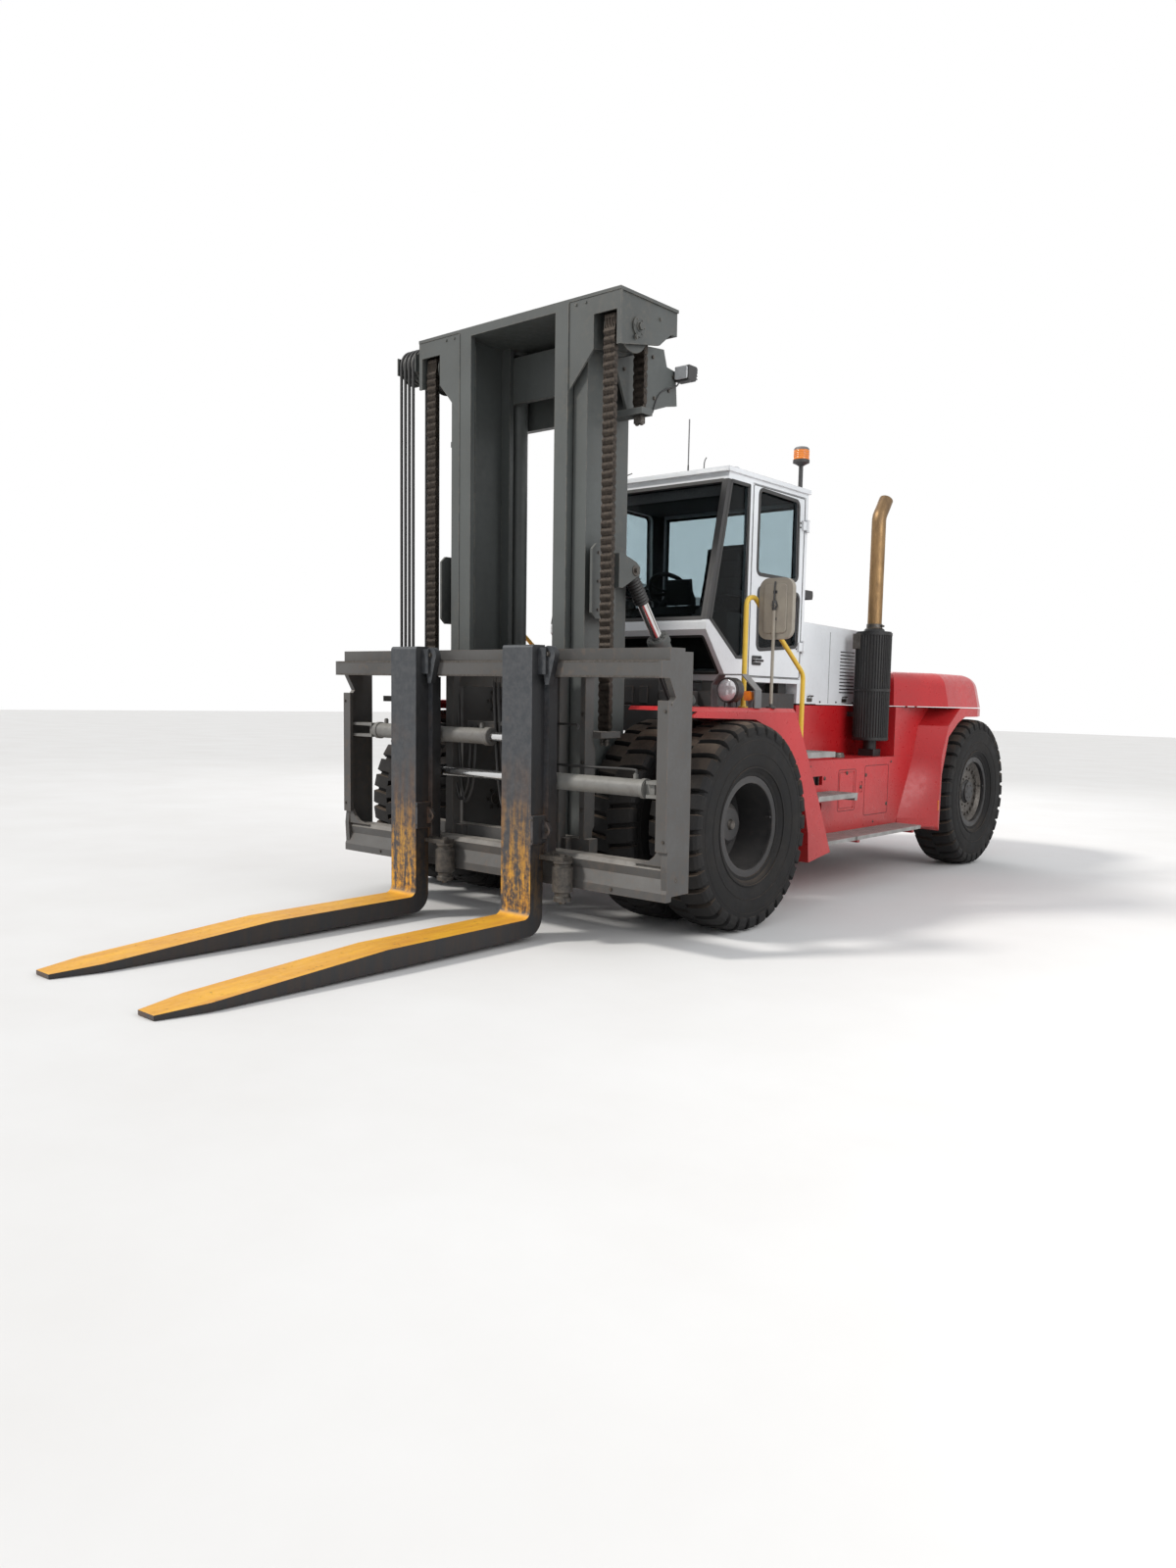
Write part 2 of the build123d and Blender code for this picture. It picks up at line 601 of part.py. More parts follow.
# Hoods
def engine_hood():
    """White hood over the engine, open below, hinged on its right edge"""
    low = DECK_Z + 12
    outer = side_plate([(HOOD_FRONT_Y, low), (HOOD_BACK_Y, low), (HOOD_BACK_Y, HOOD_TOP_Z - 22),
                        (HOOD_FRONT_Y, HOOD_TOP_Z)],
                       (-HOOD_X, HOOD_X))
    long_edges = outer.edges().filter_by(Axis.Y, 3).group_by(Axis.Z)[-1]
    outer = fillet(long_edges, 45)
    inner = block((-HOOD_X + 30, HOOD_X - 30), (HOOD_FRONT_Y + 30, HOOD_BACK_Y - 30),
                  (low - 1, HOOD_TOP_Z - 60))
    hinge = []
    leaves = []
    for y in HOOD_HINGES:
        ring = round_y(14, -HOOD_PIN_X, (y, y + 90), HOOD_PIN_Z)
        hinge.append(ring - round_y(8 + RUN_FIT, -HOOD_PIN_X, (y - 1, y + 91), HOOD_PIN_Z))
        leaves.append(block((-HOOD_X - 12, -HOOD_X), (y, y + 90), (HOOD_PIN_Z + 8, HOOD_PIN_Z + 30)))
    return joined([outer - inner] + hinge + leaves)


def hood_pins():
    """Pins and ears of the engine hood, on the bay's wall"""
    parts = []
    x = -HOOD_PIN_X
    for y in HOOD_HINGES:
        parts.append(round_y(8, x, (y - 14, y + 104), HOOD_PIN_Z))
        for ear in (y - 14, y + 90 + RUN_FIT):
            span = (ear, ear + 14 - RUN_FIT)
            parts.append(round_y(10.5, x, span, HOOD_PIN_Z))
            parts.append(block((x - 10.5, x + 4), span, (DECK_Z - 50, HOOD_PIN_Z)))
            parts.append(block((x - 10.5, -HOOD_X + 1), span, (DECK_Z - 50, DECK_Z - 8)))
    return joined(parts)


def rear_hood():
    """Red rear hood with drafted sides and a rounded tail, open below"""
    plan = [(BOX_X - 20, HOOD_BACK_Y + 10), (REAR_X, WHEELBASE - 730)] + rear_tail(REAR_X)
    right = [(-x, y) for x, y in reversed(plan)]
    face = outline(plan + right)
    low = DECK_Z + 10
    outer = extrude(Plane.XY.offset(low) * face, amount=REAR_HOOD_TOP_Z - low, taper=12)
    outer = fillet(outer.faces().sort_by(Axis.Z)[-1].edges(), HOOD_ROUND)
    small = offset(face, amount=-30)
    inner = extrude(Plane.XY.offset(low - 1) * small, amount=REAR_HOOD_TOP_Z - low - 30, taper=12)
    inner = fillet(inner.faces().sort_by(Axis.Z)[-1].edges(), HOOD_ROUND - 25)
    y, z = REAR_HINGE_Y, REAR_HINGE_Z
    barrels = [round_x(HINGE_RADIUS, (x, x + 90), y, z) - round_x(HINGE_PIN + RUN_FIT, (x - 1, x + 91), y, z)
               for x in (-345, 255)]
    leaves = [block((x, x + 90), (BODY_END_Y - 40, y - HINGE_PIN - 1), (z - 8, z + 10)) for x in (-345, 255)]
    return joined([outer - inner] + barrels + leaves)


def rear_hood_pins():
    """Pins and ears of the rear hood, on the counterweight"""
    y, z = REAR_HINGE_Y, REAR_HINGE_Z
    parts = []
    for x in (-345, 255):
        parts.append(round_x(HINGE_PIN, (x - 14, x + 104), y, z))
        for ear in (x - 14, x + 90 + RUN_FIT):
            parts.append(block((ear, ear + 14 - RUN_FIT), (BODY_END_Y, y + 12), (DECK_Z - 60, z + 12)))
    return joined(parts)


# Cab
SCREEN_Z = (2075, CAB_TOP_Z - 55)
REAR_PANE_Z = (2160, CAB_TOP_Z - 90)
CAB_POST = 28
BROW_Y = 738
CHIN_Y = 790
CORNER_PANE = [(545, 2075), (900, 1812), (1020, 1812), (1020, CAB_TOP_Z - 55), (BROW_Y + 30, CAB_TOP_Z - 55)]
CAB_SIDE = [(BROW_Y, CAB_TOP_Z), (CAB_FRONT_Y, 2054), (CAB_FRONT_Y, 2002), (CHIN_Y, CAB_LOW_Z),
            (CAB_BACK_Y, CAB_LOW_Z),
            (CAB_BACK_Y, CAB_TOP_Z)]


def chin_point(along, depth):
    """(Y, Z) on the sloping chin: a share of its length from the top, and a depth behind its face"""
    run = CHIN_Y - CAB_FRONT_Y
    rise = CAB_SIDE[2][1] - CAB_LOW_Z
    length = math.hypot(run, rise)
    return (CAB_FRONT_Y + along * run + depth * rise / length,
            CAB_SIDE[2][1] - along * rise + depth * run / length)


def cab_shell():
    """Cab walls, posts, floor and roof, with its windows and door openings cut"""
    outer = side_plate(CAB_SIDE, (-CAB_X, CAB_X))
    inside = [(BROW_Y + 60, CAB_TOP_Z - 50), (CAB_FRONT_Y + 56, 2054), (CHIN_Y + 40, CAB_LOW_Z + 50),
              (CAB_BACK_Y - CAB_WALL, CAB_LOW_Z + 50), (CAB_BACK_Y - CAB_WALL, CAB_TOP_Z - 50)]
    room = side_plate(inside, (-CAB_X + CAB_WALL, CAB_X - CAB_WALL))
    front = block((-CAB_X + CAB_POST, CAB_X - CAB_POST), (CAB_FRONT_Y - 1, 900), SCREEN_Z)
    chin = side_plate([chin_point(0.12, -5), chin_point(0.12, 75), chin_point(0.86, 75),
                       chin_point(0.86, -5)],
                      (-CAB_X + CAB_WALL, CAB_X - CAB_WALL))
    corner = side_plate(CORNER_PANE, (-CAB_X - 1, CAB_X + 1), {2: 50})
    door = both(block((CAB_X - CAB_WALL - 1, CAB_X + 1), (DOOR_FRONT_Y - CLEAR, DOOR_BACK_Y + CLEAR),
                      (DOOR_LOW_Z - CLEAR, DOOR_TOP_Z + CLEAR)))
    rear = block((-CAB_X + 110, CAB_X - 110), (CAB_BACK_Y - CAB_WALL - 1, CAB_BACK_Y + 1), REAR_PANE_Z)
    roof = roof_panel()
    hinges = both(door_hinge_lugs())
    return joined([outer - room - front - chin - corner - door - rear, roof, hinges])


def roof_panel():
    """Overhanging roof with a low hipped crown"""
    edge = plan_plate([(-CAB_X - 18, 712), (CAB_X + 18, 712), (CAB_X + 18, CAB_BACK_Y + 14),
                       (-CAB_X - 18, CAB_BACK_Y + 14)],
                      (CAB_TOP_Z, CAB_TOP_Z + 34))
    base = Plane.XY.offset(CAB_TOP_Z + 34) * outline([(-CAB_X, 740), (CAB_X, 740), (CAB_X, CAB_BACK_Y - 12),
                                                      (-CAB_X, CAB_BACK_Y - 12)])
    crown = Plane.XY.offset(CAB_TOP_Z + 92) * outline([(-CAB_X + 250, 950), (CAB_X - 250, 950),
                                                       (CAB_X - 250, CAB_BACK_Y - 130),
                                                       (-CAB_X + 250, CAB_BACK_Y - 130)])
    return edge + loft([base.faces()[0], crown.faces()[0]], ruled=True)


DOOR_HINGE = (CAB_X + 18, DOOR_BACK_Y + 18)
DOOR_HINGES = (1900, DOOR_TOP_Z - 252)


def door_hinge_lugs():
    """Pins and lugs of the left door's hinges, on the rear post"""
    x, y = DOOR_HINGE
    parts = []
    for z in DOOR_HINGES:
        parts.append(round_z(8, x, y, (z - 14, z + 84)))
        for lug in (z - 14, z + 70 + RUN_FIT):
            disc = round_z(14, x, y, (lug, lug + 14 - RUN_FIT))
            arm = block((CAB_X - 1, x + 6), (y, y + 22), (lug, lug + 14 - RUN_FIT))
            parts.append(disc + arm)
    return joined(parts)


UPPER_PANE = [(1150, 2450), (1756, 2450), (1742, DOOR_TOP_Z - 34), (1150, DOOR_TOP_Z - 20)]
LOWER_PANE = [(1180, 1880), (1780, 1930), (1790, 2355), (1172, 2362)]


def door():
    """Left door, hinged at its rear edge"""
    slab = block((CAB_X - CAB_WALL, CAB_X), (DOOR_FRONT_Y, DOOR_BACK_Y), (DOOR_LOW_Z, DOOR_TOP_Z))
    for pane in (UPPER_PANE, LOWER_PANE):
        slab = slab - side_plate(pane, (CAB_X - CAB_WALL - 1, CAB_X + 1), {0: 50, 1: 50, 2: 50, 3: 50})
    x, y = DOOR_HINGE
    barrels = []
    for z in DOOR_HINGES:
        ring = round_z(14, x, y, (z, z + 70))
        leaf = block((CAB_X, x), (y - 70, y - 6), (z, z + 70))
        barrels.append((ring + leaf) - round_z(8 + RUN_FIT, x, y, (z - 1, z + 71)))
    handle = block((CAB_X, CAB_X + 34), (1130, 1230), (1790, 1815))
    return joined([slab, handle] + barrels)


def door_glass():
    """Both panes of the left door"""
    x = (CAB_X - 25, CAB_X - 25 + GLASS)
    panes = [side_plate(pane, x, {0: 50, 1: 50, 2: 50, 3: 50}) for pane in (UPPER_PANE, LOWER_PANE)]
    return group(panes)


def cab_glass():
    """Windscreen, corner panes and rear pane"""
    low, high = SCREEN_Z
    slope = (CAB_SIDE[0][0] - CAB_FRONT_Y) / (CAB_TOP_Z - CAB_SIDE[1][1])
    foot = CAB_FRONT_Y + 30 + slope * (low - CAB_SIDE[1][1])
    top = foot + slope * (high - low)
    screen = side_plate([(foot, low), (foot + 8, low), (top + 8, high), (top, high)],
                        (-CAB_X + CAB_POST, CAB_X - CAB_POST))
    corner = side_plate(CORNER_PANE, (CAB_X - 25, CAB_X - 25 + GLASS), {2: 50})
    rear = block((-CAB_X + 110, CAB_X - 110), (CAB_BACK_Y - 30, CAB_BACK_Y - 30 + GLASS), REAR_PANE_Z)
    chin = side_plate([chin_point(0.12, 12), chin_point(0.12, 12 + GLASS), chin_point(0.86, 12 + GLASS),
                       chin_point(0.86, 12)],
                      (-CAB_X + CAB_WALL, CAB_X - CAB_WALL))
    return group([screen, corner, mirrored(corner), rear, chin])


def cab_fittings():
    """Seat base, dashboard, steering column and wheel"""
    floor = CAB_LOW_Z + 50
    base = block((SEAT_X - 200, SEAT_X + 200), (1350, 1720), (floor, 2080))
    dash = side_plate([(600, 2060), (760, 2060), (790, 2130), (700, 2190), (590, 2120)], (-420, 560))
    post = side_plate([(860, floor + 100), (900, floor + 100), (770, 2062), (730, 2062)], (-30, 180))
    column = bar_between((SEAT_X, 740, 2100), (SEAT_X, 990, 2316), 28)
    rim = extrude(RegularPolygon(200, 20) - RegularPolygon(176, 20), 12, both=True)
    wheel = Pos(SEAT_X, 990, 2316) * Rot(-49.2, 0, 0) * (rim + Cylinder(45, 24) + Box(370, 26, 10))
    console = block((SEAT_X + 230, SEAT_X + 420), (1150, 1700), (floor, 2180))
    pedestal = block((-30, 180), (850, 960), (floor, floor + 120))
    return group([base, joined([dash, post, column, wheel, pedestal]), console])


def bar_between(start, end, radius):
    """Round bar from one point to another"""
    path = Line(start, end)
    return bar_along(path, radius)


def seat_cushions():
    """Seat squab, back and head part as plain soft solids"""
    squab = block((SEAT_X - 230, SEAT_X + 230), (1230, 1700), (2080.3, 2210))
    back = side_plate([(1600, 2210.3), (1700, 2210.3), (1790, SEAT_TOP_Z - 10), (1720, SEAT_TOP_Z)],
                      (SEAT_X - 210, SEAT_X + 210))
    return group([squab, back])


# Exhaust and fittings
def muffler():
    """Muffler on its stand with the bent stack"""
    stand = block((MUFFLER_X - 70, MUFFLER_X + 70), (MUFFLER_Y - 70, MUFFLER_Y + 70),
                  (BOX_TOP_Z, BOX_TOP_Z + 60))
    neck = round_z(55, MUFFLER_X, MUFFLER_Y, (BOX_TOP_Z + 60, 1180))
    body = round_z(MUFFLER_RADIUS, MUFFLER_X, MUFFLER_Y, (1180, MUFFLER_TOP_Z))
    strap = block((HOOD_X, MUFFLER_X), (MUFFLER_Y - 25, MUFFLER_Y + 25), (1380, 1420))
    path = FilletPolyline((MUFFLER_X, MUFFLER_Y, MUFFLER_TOP_Z - 10), (MUFFLER_X, MUFFLER_Y, 3080),
                          (MUFFLER_X, MUFFLER_Y + 115, 3240), radius=110)
    stack = bar_along(path, 60)
    cone = Pos(MUFFLER_X, MUFFLER_Y, MUFFLER_TOP_Z + 20) * Cone(85, 60, 42)
    return joined([stand, neck, body, strap, cone, stack])


def handrail():
    """Left hand rail hoop from the fender over to the top step"""
    x = RAIL_X
    path = FilletPolyline((x, 298, FENDER_TOP_Z), (x, 298, 2190), (x, 400, 2200), (x, 1088, 1700),
                          (x, 1088, 1130),
                          radius=[60, 60, 90])
    return bar_along(path, 17)


def mirror_stand():
    """Left mirror on its pole"""
    pole = round_z(11, MIRROR_X, MIRROR_Y, (FENDER_TOP_Z, 2160))
    arm = round_y(16, MIRROR_X, (MIRROR_Y - 14, MIRROR_Y + 20), 2140)
    half = MIRROR_WIDTH / 2
    head = block((MIRROR_X - half, MIRROR_X + half), (MIRROR_Y + 16, MIRROR_Y + 58), (1915, 2325))
    head = fillet(head.edges().filter_by(Axis.Y), 70)
    return joined([pole, arm, head])


def headlamp():
    """Left headlamp and marker lamp under their octagonal guard"""
    y = 160
    guard_out = [(1048, 1450), (1048, 1606), (1106, 1674), (1290, 1674), (1398, 1570), (1398, 1450)]
    guard_in = [(1056, 1449), (1056, 1603), (1110, 1666), (1287, 1666), (1390, 1567), (1390, 1449)]
    guard = front_plate(guard_out, (y - 10, y + 70)) - front_plate(guard_in, (y - 11, y + 71))
    lamp = round_y(84, 1178, (y, y + 70), 1566)
    foot = block((1166, 1206), (y + 20, y + 50), (1450, 1500))
    marker = block((1306, 1362), (y, y + 60), (1500, 1560))
    marker_foot = block((1326, 1342), (y + 20, y + 40), (1450, 1500))
    return joined([guard, lamp + foot, marker + marker_foot])


def beacon():
    """Warning beacon on its stalk at the roof's rear left corner"""
    x = 700
    y = 1830
    stalk = round_z(16, x, y, (CAB_TOP_Z + 34, BEACON_Z))
    dome = round_z(62, x, y, (BEACON_Z, BEACON_Z + 120))
    dome = fillet(dome.edges().sort_by(Axis.Z)[-1], 25)
    antenna = round_z(5, 300, 850, (CAB_TOP_Z + 34, ANTENNA_TOP_Z))
    camera = block((660, 730), (CAB_BACK_Y, CAB_BACK_Y + 160), (2330, 2400))
    roof = roof_panel()
    return group([(stalk + dome) - roof, antenna - roof, camera])


# Mast
def lean(shape):
    """Tip an upright mast piece forward about the pivot to its parked place"""
    pivot = Pos(0, PIVOT_Y, PIVOT_Z)
    return pivot * Rot(MAST_LEAN, 0, 0) * pivot.inverse() * shape


def channel(x, width, front, z):
    """Left rail: a C of plate that opens towards the truck's middle"""
    back = front + RAIL_DEPTH
    full = block((x, x + width), (front, back), z)
    hollow = block((x - 1, x + width - RAIL_PLATE), (front + RAIL_PLATE, back - RAIL_PLATE),
                   (z[0] - 1, z[1] + 1))
    return full - hollow


def outer_mast():
    """Outer mast: rails, cross beams behind the lift cylinders, shelf and feet"""
    rail = channel(OUTER_RAIL_X, OUTER_RAIL_WIDTH, OUTER_FRONT_Y, (OUTER_BOTTOM_Z, OUTER_TOP_Z))
    back = OUTER_FRONT_Y + RAIL_DEPTH
    edge = OUTER_RAIL_X + OUTER_RAIL_WIDTH
    beams = []
    for z in ((950, LIFT_BOTTOM_Z), (1650, 1800), (OUTER_TOP_Z - 400, OUTER_TOP_Z)):
        beams.append(block((-edge, edge), (-80, -20), z))
        beams.append(both(block((edge - 60, edge), (back, -20), z)))
    shelf = both(block((LIFT_X - 80, edge), (back + 2, -20), (950, LIFT_BOTTOM_Z)))
    foot_ring = round_x(100, (OUTER_RAIL_X, edge - 1), PIVOT_Y, PIVOT_Z)
    foot_outline = [(PIVOT_Y - 100, PIVOT_Z), (PIVOT_Y + 100, PIVOT_Z), (back, 575), (-540, 575),
                    (-540, OUTER_BOTTOM_Z + 1)]
    foot_web = side_plate(foot_outline, (OUTER_RAIL_X, edge - 1))
    bore = round_x(PIVOT_PIN + RUN_FIT, (OUTER_RAIL_X - 1, edge + 1), PIVOT_Y, PIVOT_Z)
    foot = both((foot_ring + foot_web) - bore)
    rail_side = both(rail)
    return joined([rail_side, shelf, foot] + beams)


def mast_bracket():
    """Left bracket of the outer mast: tilt ears, chain guard, chain anchor and lamp plate"""
    back = OUTER_FRONT_Y + RAIL_DEPTH
    edge = OUTER_RAIL_X + OUTER_RAIL_WIDTH
    ear_y = TILT_TOP_Y
    ear = [(ear_y - 130, TILT_TOP_Z - 120), (ear_y - 20, TILT_TOP_Z - 60), (ear_y + 50, TILT_TOP_Z - 20),
           (ear_y + 50, TILT_TOP_Z + 30), (ear_y, TILT_TOP_Z + 60), (ear_y - 130, TILT_TOP_Z + 100)]
    ears = side_plate(ear, (TILT_X - EAR_GAP - EAR_PLATE, TILT_X - EAR_GAP))
    ears += side_plate(ear, (TILT_X + EAR_GAP, TILT_X + EAR_GAP + 18))
    base = block((edge, TILT_X + EAR_GAP + 18), (ear_y - 170, ear_y - 125),
                 (TILT_TOP_Z - 120, TILT_TOP_Z + 100))
    guard = side_plate([(CHAIN_FRONT_Y, 2040), (CHAIN_FRONT_Y, 2440), (CHAIN_FRONT_Y + 40, 2477),
                        (ear_y - 150, 2477),
                        (ear_y - 150, 2003), (CHAIN_FRONT_Y + 40, 2003)], (694, 712))
    cheek = block((edge, 694), (ear_y - 190, ear_y - 165), (2003, 2477))
    top = OUTER_TOP_Z
    plate = side_plate([(-515, top - 180), (-300, top - 105), (-180, top - 22), (1, top - 3),
                        (38, top - 109), (138, top - 120),
                        (158, top - 343), (58, top - 363), (-363, top - 506)], (700, 718))
    web = block((edge, 701), (back - 60, back - 30), (top - 400, top - 150))
    anchor = block((edge, CHAIN_X + 70), (-440, -330), (REAR_ANCHOR_Z, REAR_ANCHOR_Z + 40))
    hole = block((CHAIN_X - CHAIN_WIDTH / 2 - CLEAR, CHAIN_X + CHAIN_WIDTH / 2 + CLEAR), (-425, -345),
                 (REAR_ANCHOR_Z - 1, REAR_ANCHOR_Z + 41))
    return joined([ears, base, guard, cheek, plate, web, anchor - hole])


def lift_barrels():
    """Lift cylinder barrels, standing on the outer mast's shelf"""
    bore = round_z(45 + RUN_FIT, LIFT_X, LIFT_Y, (LIFT_BOTTOM_Z + 40, OUTER_TOP_Z + 1))
    barrel = round_z(LIFT_RADIUS, LIFT_X, LIFT_Y, (LIFT_BOTTOM_Z, OUTER_TOP_Z - 40))
    return both(barrel - bore)


def lift_rods():
    """Lift cylinder rods under the crosshead"""
    return both(round_z(45, LIFT_X, LIFT_Y, (1150, MAST_TOP_Z - HEAD_BEAM)))


def inner_mast():
    """Inner mast: rails, crosshead, guide rollers and rear ties"""
    rail_top = MAST_TOP_Z - HEAD_PLATE
    beam_low = MAST_TOP_Z - HEAD_BEAM
    rail = channel(INNER_RAIL_X, INNER_RAIL_WIDTH, INNER_FRONT_Y, (INNER_BOTTOM_Z, rail_top + 1))
    back = INNER_FRONT_Y + RAIL_DEPTH
    edge = INNER_RAIL_X + INNER_RAIL_WIDTH
    head_back = INNER_FRONT_Y + HEAD_DEPTH
    top = block((-HEAD_HALF_WIDTH, HEAD_HALF_WIDTH), (INNER_FRONT_Y, head_back), (rail_top, MAST_TOP_Z))
    high = MAST_TOP_Z
    wing = front_plate([(edge - 1, rail_top), (edge - 1, high - 563), (700, high - 344), (700, high - 130),
                        (HEAD_HALF_WIDTH, high - 130), (HEAD_HALF_WIDTH, rail_top)], (INNER_FRONT_Y + 4,
                        INNER_FRONT_Y + 18))
    lip = block((CHAIN_X + 76, HEAD_HALF_WIDTH), (INNER_FRONT_Y + 4, INNER_FRONT_Y + 18),
                (high - 340, high - 129))
    end_shape = [(INNER_FRONT_Y + 4, high - 340), (-300, high - 260), (-180, high - 165),
                 (head_back, high - 165),
                 (head_back, rail_top), (INNER_FRONT_Y + 4, rail_top)]
    end = side_plate(end_shape, (HEAD_HALF_WIDTH - 32, HEAD_HALF_WIDTH - 12))
    cheek = side_plate(end_shape, (688, 706))
    boss = round_x(62, (HEAD_HALF_WIDTH - 13, HEAD_HALF_WIDTH), SHEAVE_Y, SHEAVE_Z)
    rear = block((-HEAD_HALF_WIDTH + 12, HEAD_HALF_WIDTH - 12), (head_back - 16, head_back),
                 (high - 165, rail_top))
    beam = block((-edge, edge), (INNER_FRONT_Y, head_back), (beam_low, rail_top))
    ties = [block((-edge, edge), (back, back + 40), z) for z in ((1080, 1240), (high - 436, high - 117))]
    roller_y = OUTER_FRONT_Y + RAIL_DEPTH / 2
    roller_r = RAIL_DEPTH / 2 - RAIL_PLATE - PAD_FIT
    rollers = [round_x(roller_r, (edge + 8, edge + 78), roller_y, z) for z in (760, 1500)]
    stubs = [round_x(40, (edge - 2, edge + 9), roller_y, z) for z in (760, 1500)]
    side = both(joined([rail, wing, lip, end, cheek, boss] + rollers + stubs))
    return joined([side, top, rear, beam, hose_sheave()] + ties)


def hose_sheave():
    """Hose sheave with its cheeks and arm on the crosshead's right end"""
    last = HOSE_X - 3 * HOSE_PITCH
    y = HOSE_Y + HOSE_RADIUS + HOSE_SHEAVE
    z = HOSE_TOP_Z
    wheel = round_x(HOSE_SHEAVE, (last - 21, HOSE_X + 20), y, z)
    cheeks = []
    for x in (last - 35, HOSE_X + 24):
        cheeks.append(block((x, x + 10), (HOSE_Y - 10, HOSE_Y + 300), (z - 60, z + 60)))
    arm = block((HOSE_X + 24, -HEAD_HALF_WIDTH + 13), (HOSE_Y + 40, HOSE_Y + 200), (z - 60, z + 60))
    shaft = round_x(20, (last - 35, HOSE_X + 34), y, z)
    return joined([wheel, shaft, arm] + cheeks)


def mast_chains():
    """Leaf chains with their sheaves: front strand, wrap and rear strand"""
    front_y = CHAIN_FRONT_Y + CHAIN_DEPTH / 2
    centre_y = SHEAVE_Y
    centre_z = SHEAVE_Z
    rear_y = centre_y + SHEAVE_RADIUS + CHAIN_DEPTH / 2
    front = chain_strand(front_y, CHAIN_ANCHOR_Z, centre_z)
    rear = chain_strand(rear_y, REAR_ANCHOR_Z + 10, centre_z)
    half = CHAIN_WIDTH / 2 - 14
    section = [(-half, SHEAVE_RADIUS - 60), (-half, SHEAVE_RADIUS + CHAIN_DEPTH),
               (half, SHEAVE_RADIUS + CHAIN_DEPTH), (half, SHEAVE_RADIUS - 60)]
    ring = turned(section, (CHAIN_X, centre_y, centre_z))
    below = block((CHAIN_X - half - 1, CHAIN_X + half + 1),
                  (centre_y - SHEAVE_RADIUS - 90, centre_y + SHEAVE_RADIUS + 90),
                  (centre_z - SHEAVE_RADIUS - 90, centre_z))
    wrap = ring - below
    sheave = round_x(SHEAVE_RADIUS, (CHAIN_X - half, CHAIN_X + half), centre_y, centre_z)
    flanges = [round_x(SHEAVE_RADIUS + 18, x, centre_y, centre_z)
               for x in ((CHAIN_X - half - 12, CHAIN_X - half), (CHAIN_X + half, CHAIN_X + half + 12))]
    shaft = round_x(45, (706, HEAD_HALF_WIDTH - 32), centre_y, centre_z)
    return both(joined([front, rear, wrap, sheave, shaft] + flanges))


def chain_strand(y, low, high):
    """Straight leaf chain strand whose links are wide and narrow in turn"""
    wide = CHAIN_WIDTH / 2
    narrow = wide - 14
    right = []
    z = low
    number = 0
    while z < high:
        reach = wide if number % 2 == 0 else narrow
        end = min(z + CHAIN_PITCH, high)
        right += [(CHAIN_X + reach, z), (CHAIN_X + reach, end)]
        z = end
        number += 1
    left = [(2 * CHAIN_X - x, z) for x, z in reversed(right)]
    return front_plate(right + left, (y - CHAIN_DEPTH / 2, y + CHAIN_DEPTH / 2))


def mast_hoses():
    """Four taut hoses over the sheave at the crosshead's right end"""
    bend = HOSE_SHEAVE + HOSE_RADIUS
    y = HOSE_Y + bend
    hoses = []
    for number in range(4):
        x = HOSE_X - HOSE_PITCH * number
        points = [(x, y - bend - 0.5, 1480)]
        corner = (bend + 0.5) / math.cos(math.radians(15))
        for degrees in range(165, 0, -30):
            angle = math.radians(degrees)
            points.append((x, y + corner * math.cos(angle), HOSE_TOP_Z + corner * math.sin(angle)))
        points.append((x, y + bend + 0.5, 1700))
        path = Polyline(*points)
        start = Plane(origin=points[0], z_dir=(0, 0, 1))
        hoses.append(sweep(start * RegularPolygon(HOSE_RADIUS, 8), path=path, transition=Transition.RIGHT))
    return group(hoses)


def carriage():
    """Lift carriage: roller plates, guide rollers, rails for the fork frame, chain anchors"""
    x = (INNER_RAIL_X - CLEAR - 40, INNER_RAIL_X - CLEAR)
    plate = side_plate([(-640, 500), (-400, 500), (-400, 1700), (-640, 1700), (-700, 1688), (-815, 1688),
                        (-815, 500)], x)
    roller_y = INNER_FRONT_Y + RAIL_DEPTH / 2
    roller_r = RAIL_DEPTH / 2 - RAIL_PLATE - PAD_FIT
    rollers = [round_x(roller_r, (INNER_RAIL_X + 4, INNER_RAIL_X + INNER_RAIL_WIDTH - RAIL_PLATE - CLEAR),
                       roller_y, z)
               for z in (760, 1460)]
    stubs = [round_x(45, (x[1] - 1, INNER_RAIL_X + 5), roller_y, z) for z in (760, 1460)]
    upper = block((-880, 880), (-890, -810), (1640, 1720))
    lower = block((-880, 880), (-890, -810), (520, 620))
    post = block((CHAIN_X - 20, CHAIN_X + 20), (-890, -810), (620, 1640))
    anchor = block((CHAIN_X - 85, CHAIN_X + 85), (-812, -620), (CHAIN_ANCHOR_Z - 40, CHAIN_ANCHOR_Z))
    hole = block((CHAIN_X - CHAIN_WIDTH / 2 - CLEAR, CHAIN_X + CHAIN_WIDTH / 2 + CLEAR),
                 (CHAIN_FRONT_Y - CLEAR, CHAIN_FRONT_Y + CHAIN_DEPTH + CLEAR),
                 (CHAIN_ANCHOR_Z - 41, CHAIN_ANCHOR_Z + 1))
    hose_arm = block((-1160, -850), (-850, -810), (1440, 1480)) + block((-1160, -970), (-812, -660),
                                                                        (1452, 1470))
    hose_arm += block((-880, -850), (-850, -810), (1440, 1640))
    for number in range(4):
        hose_arm -= round_z(HOSE_RADIUS + CLEAR, HOSE_X - HOSE_PITCH * number, HOSE_Y, (1440, 1482))
    side = both(joined([plate, post, anchor - hole] + rollers + stubs))
    return joined([side, upper, lower, hose_arm])


def frame_x(offset):
    """X of a place on the fork frame, from its own middle"""
    return FRAME_SHIFT + offset


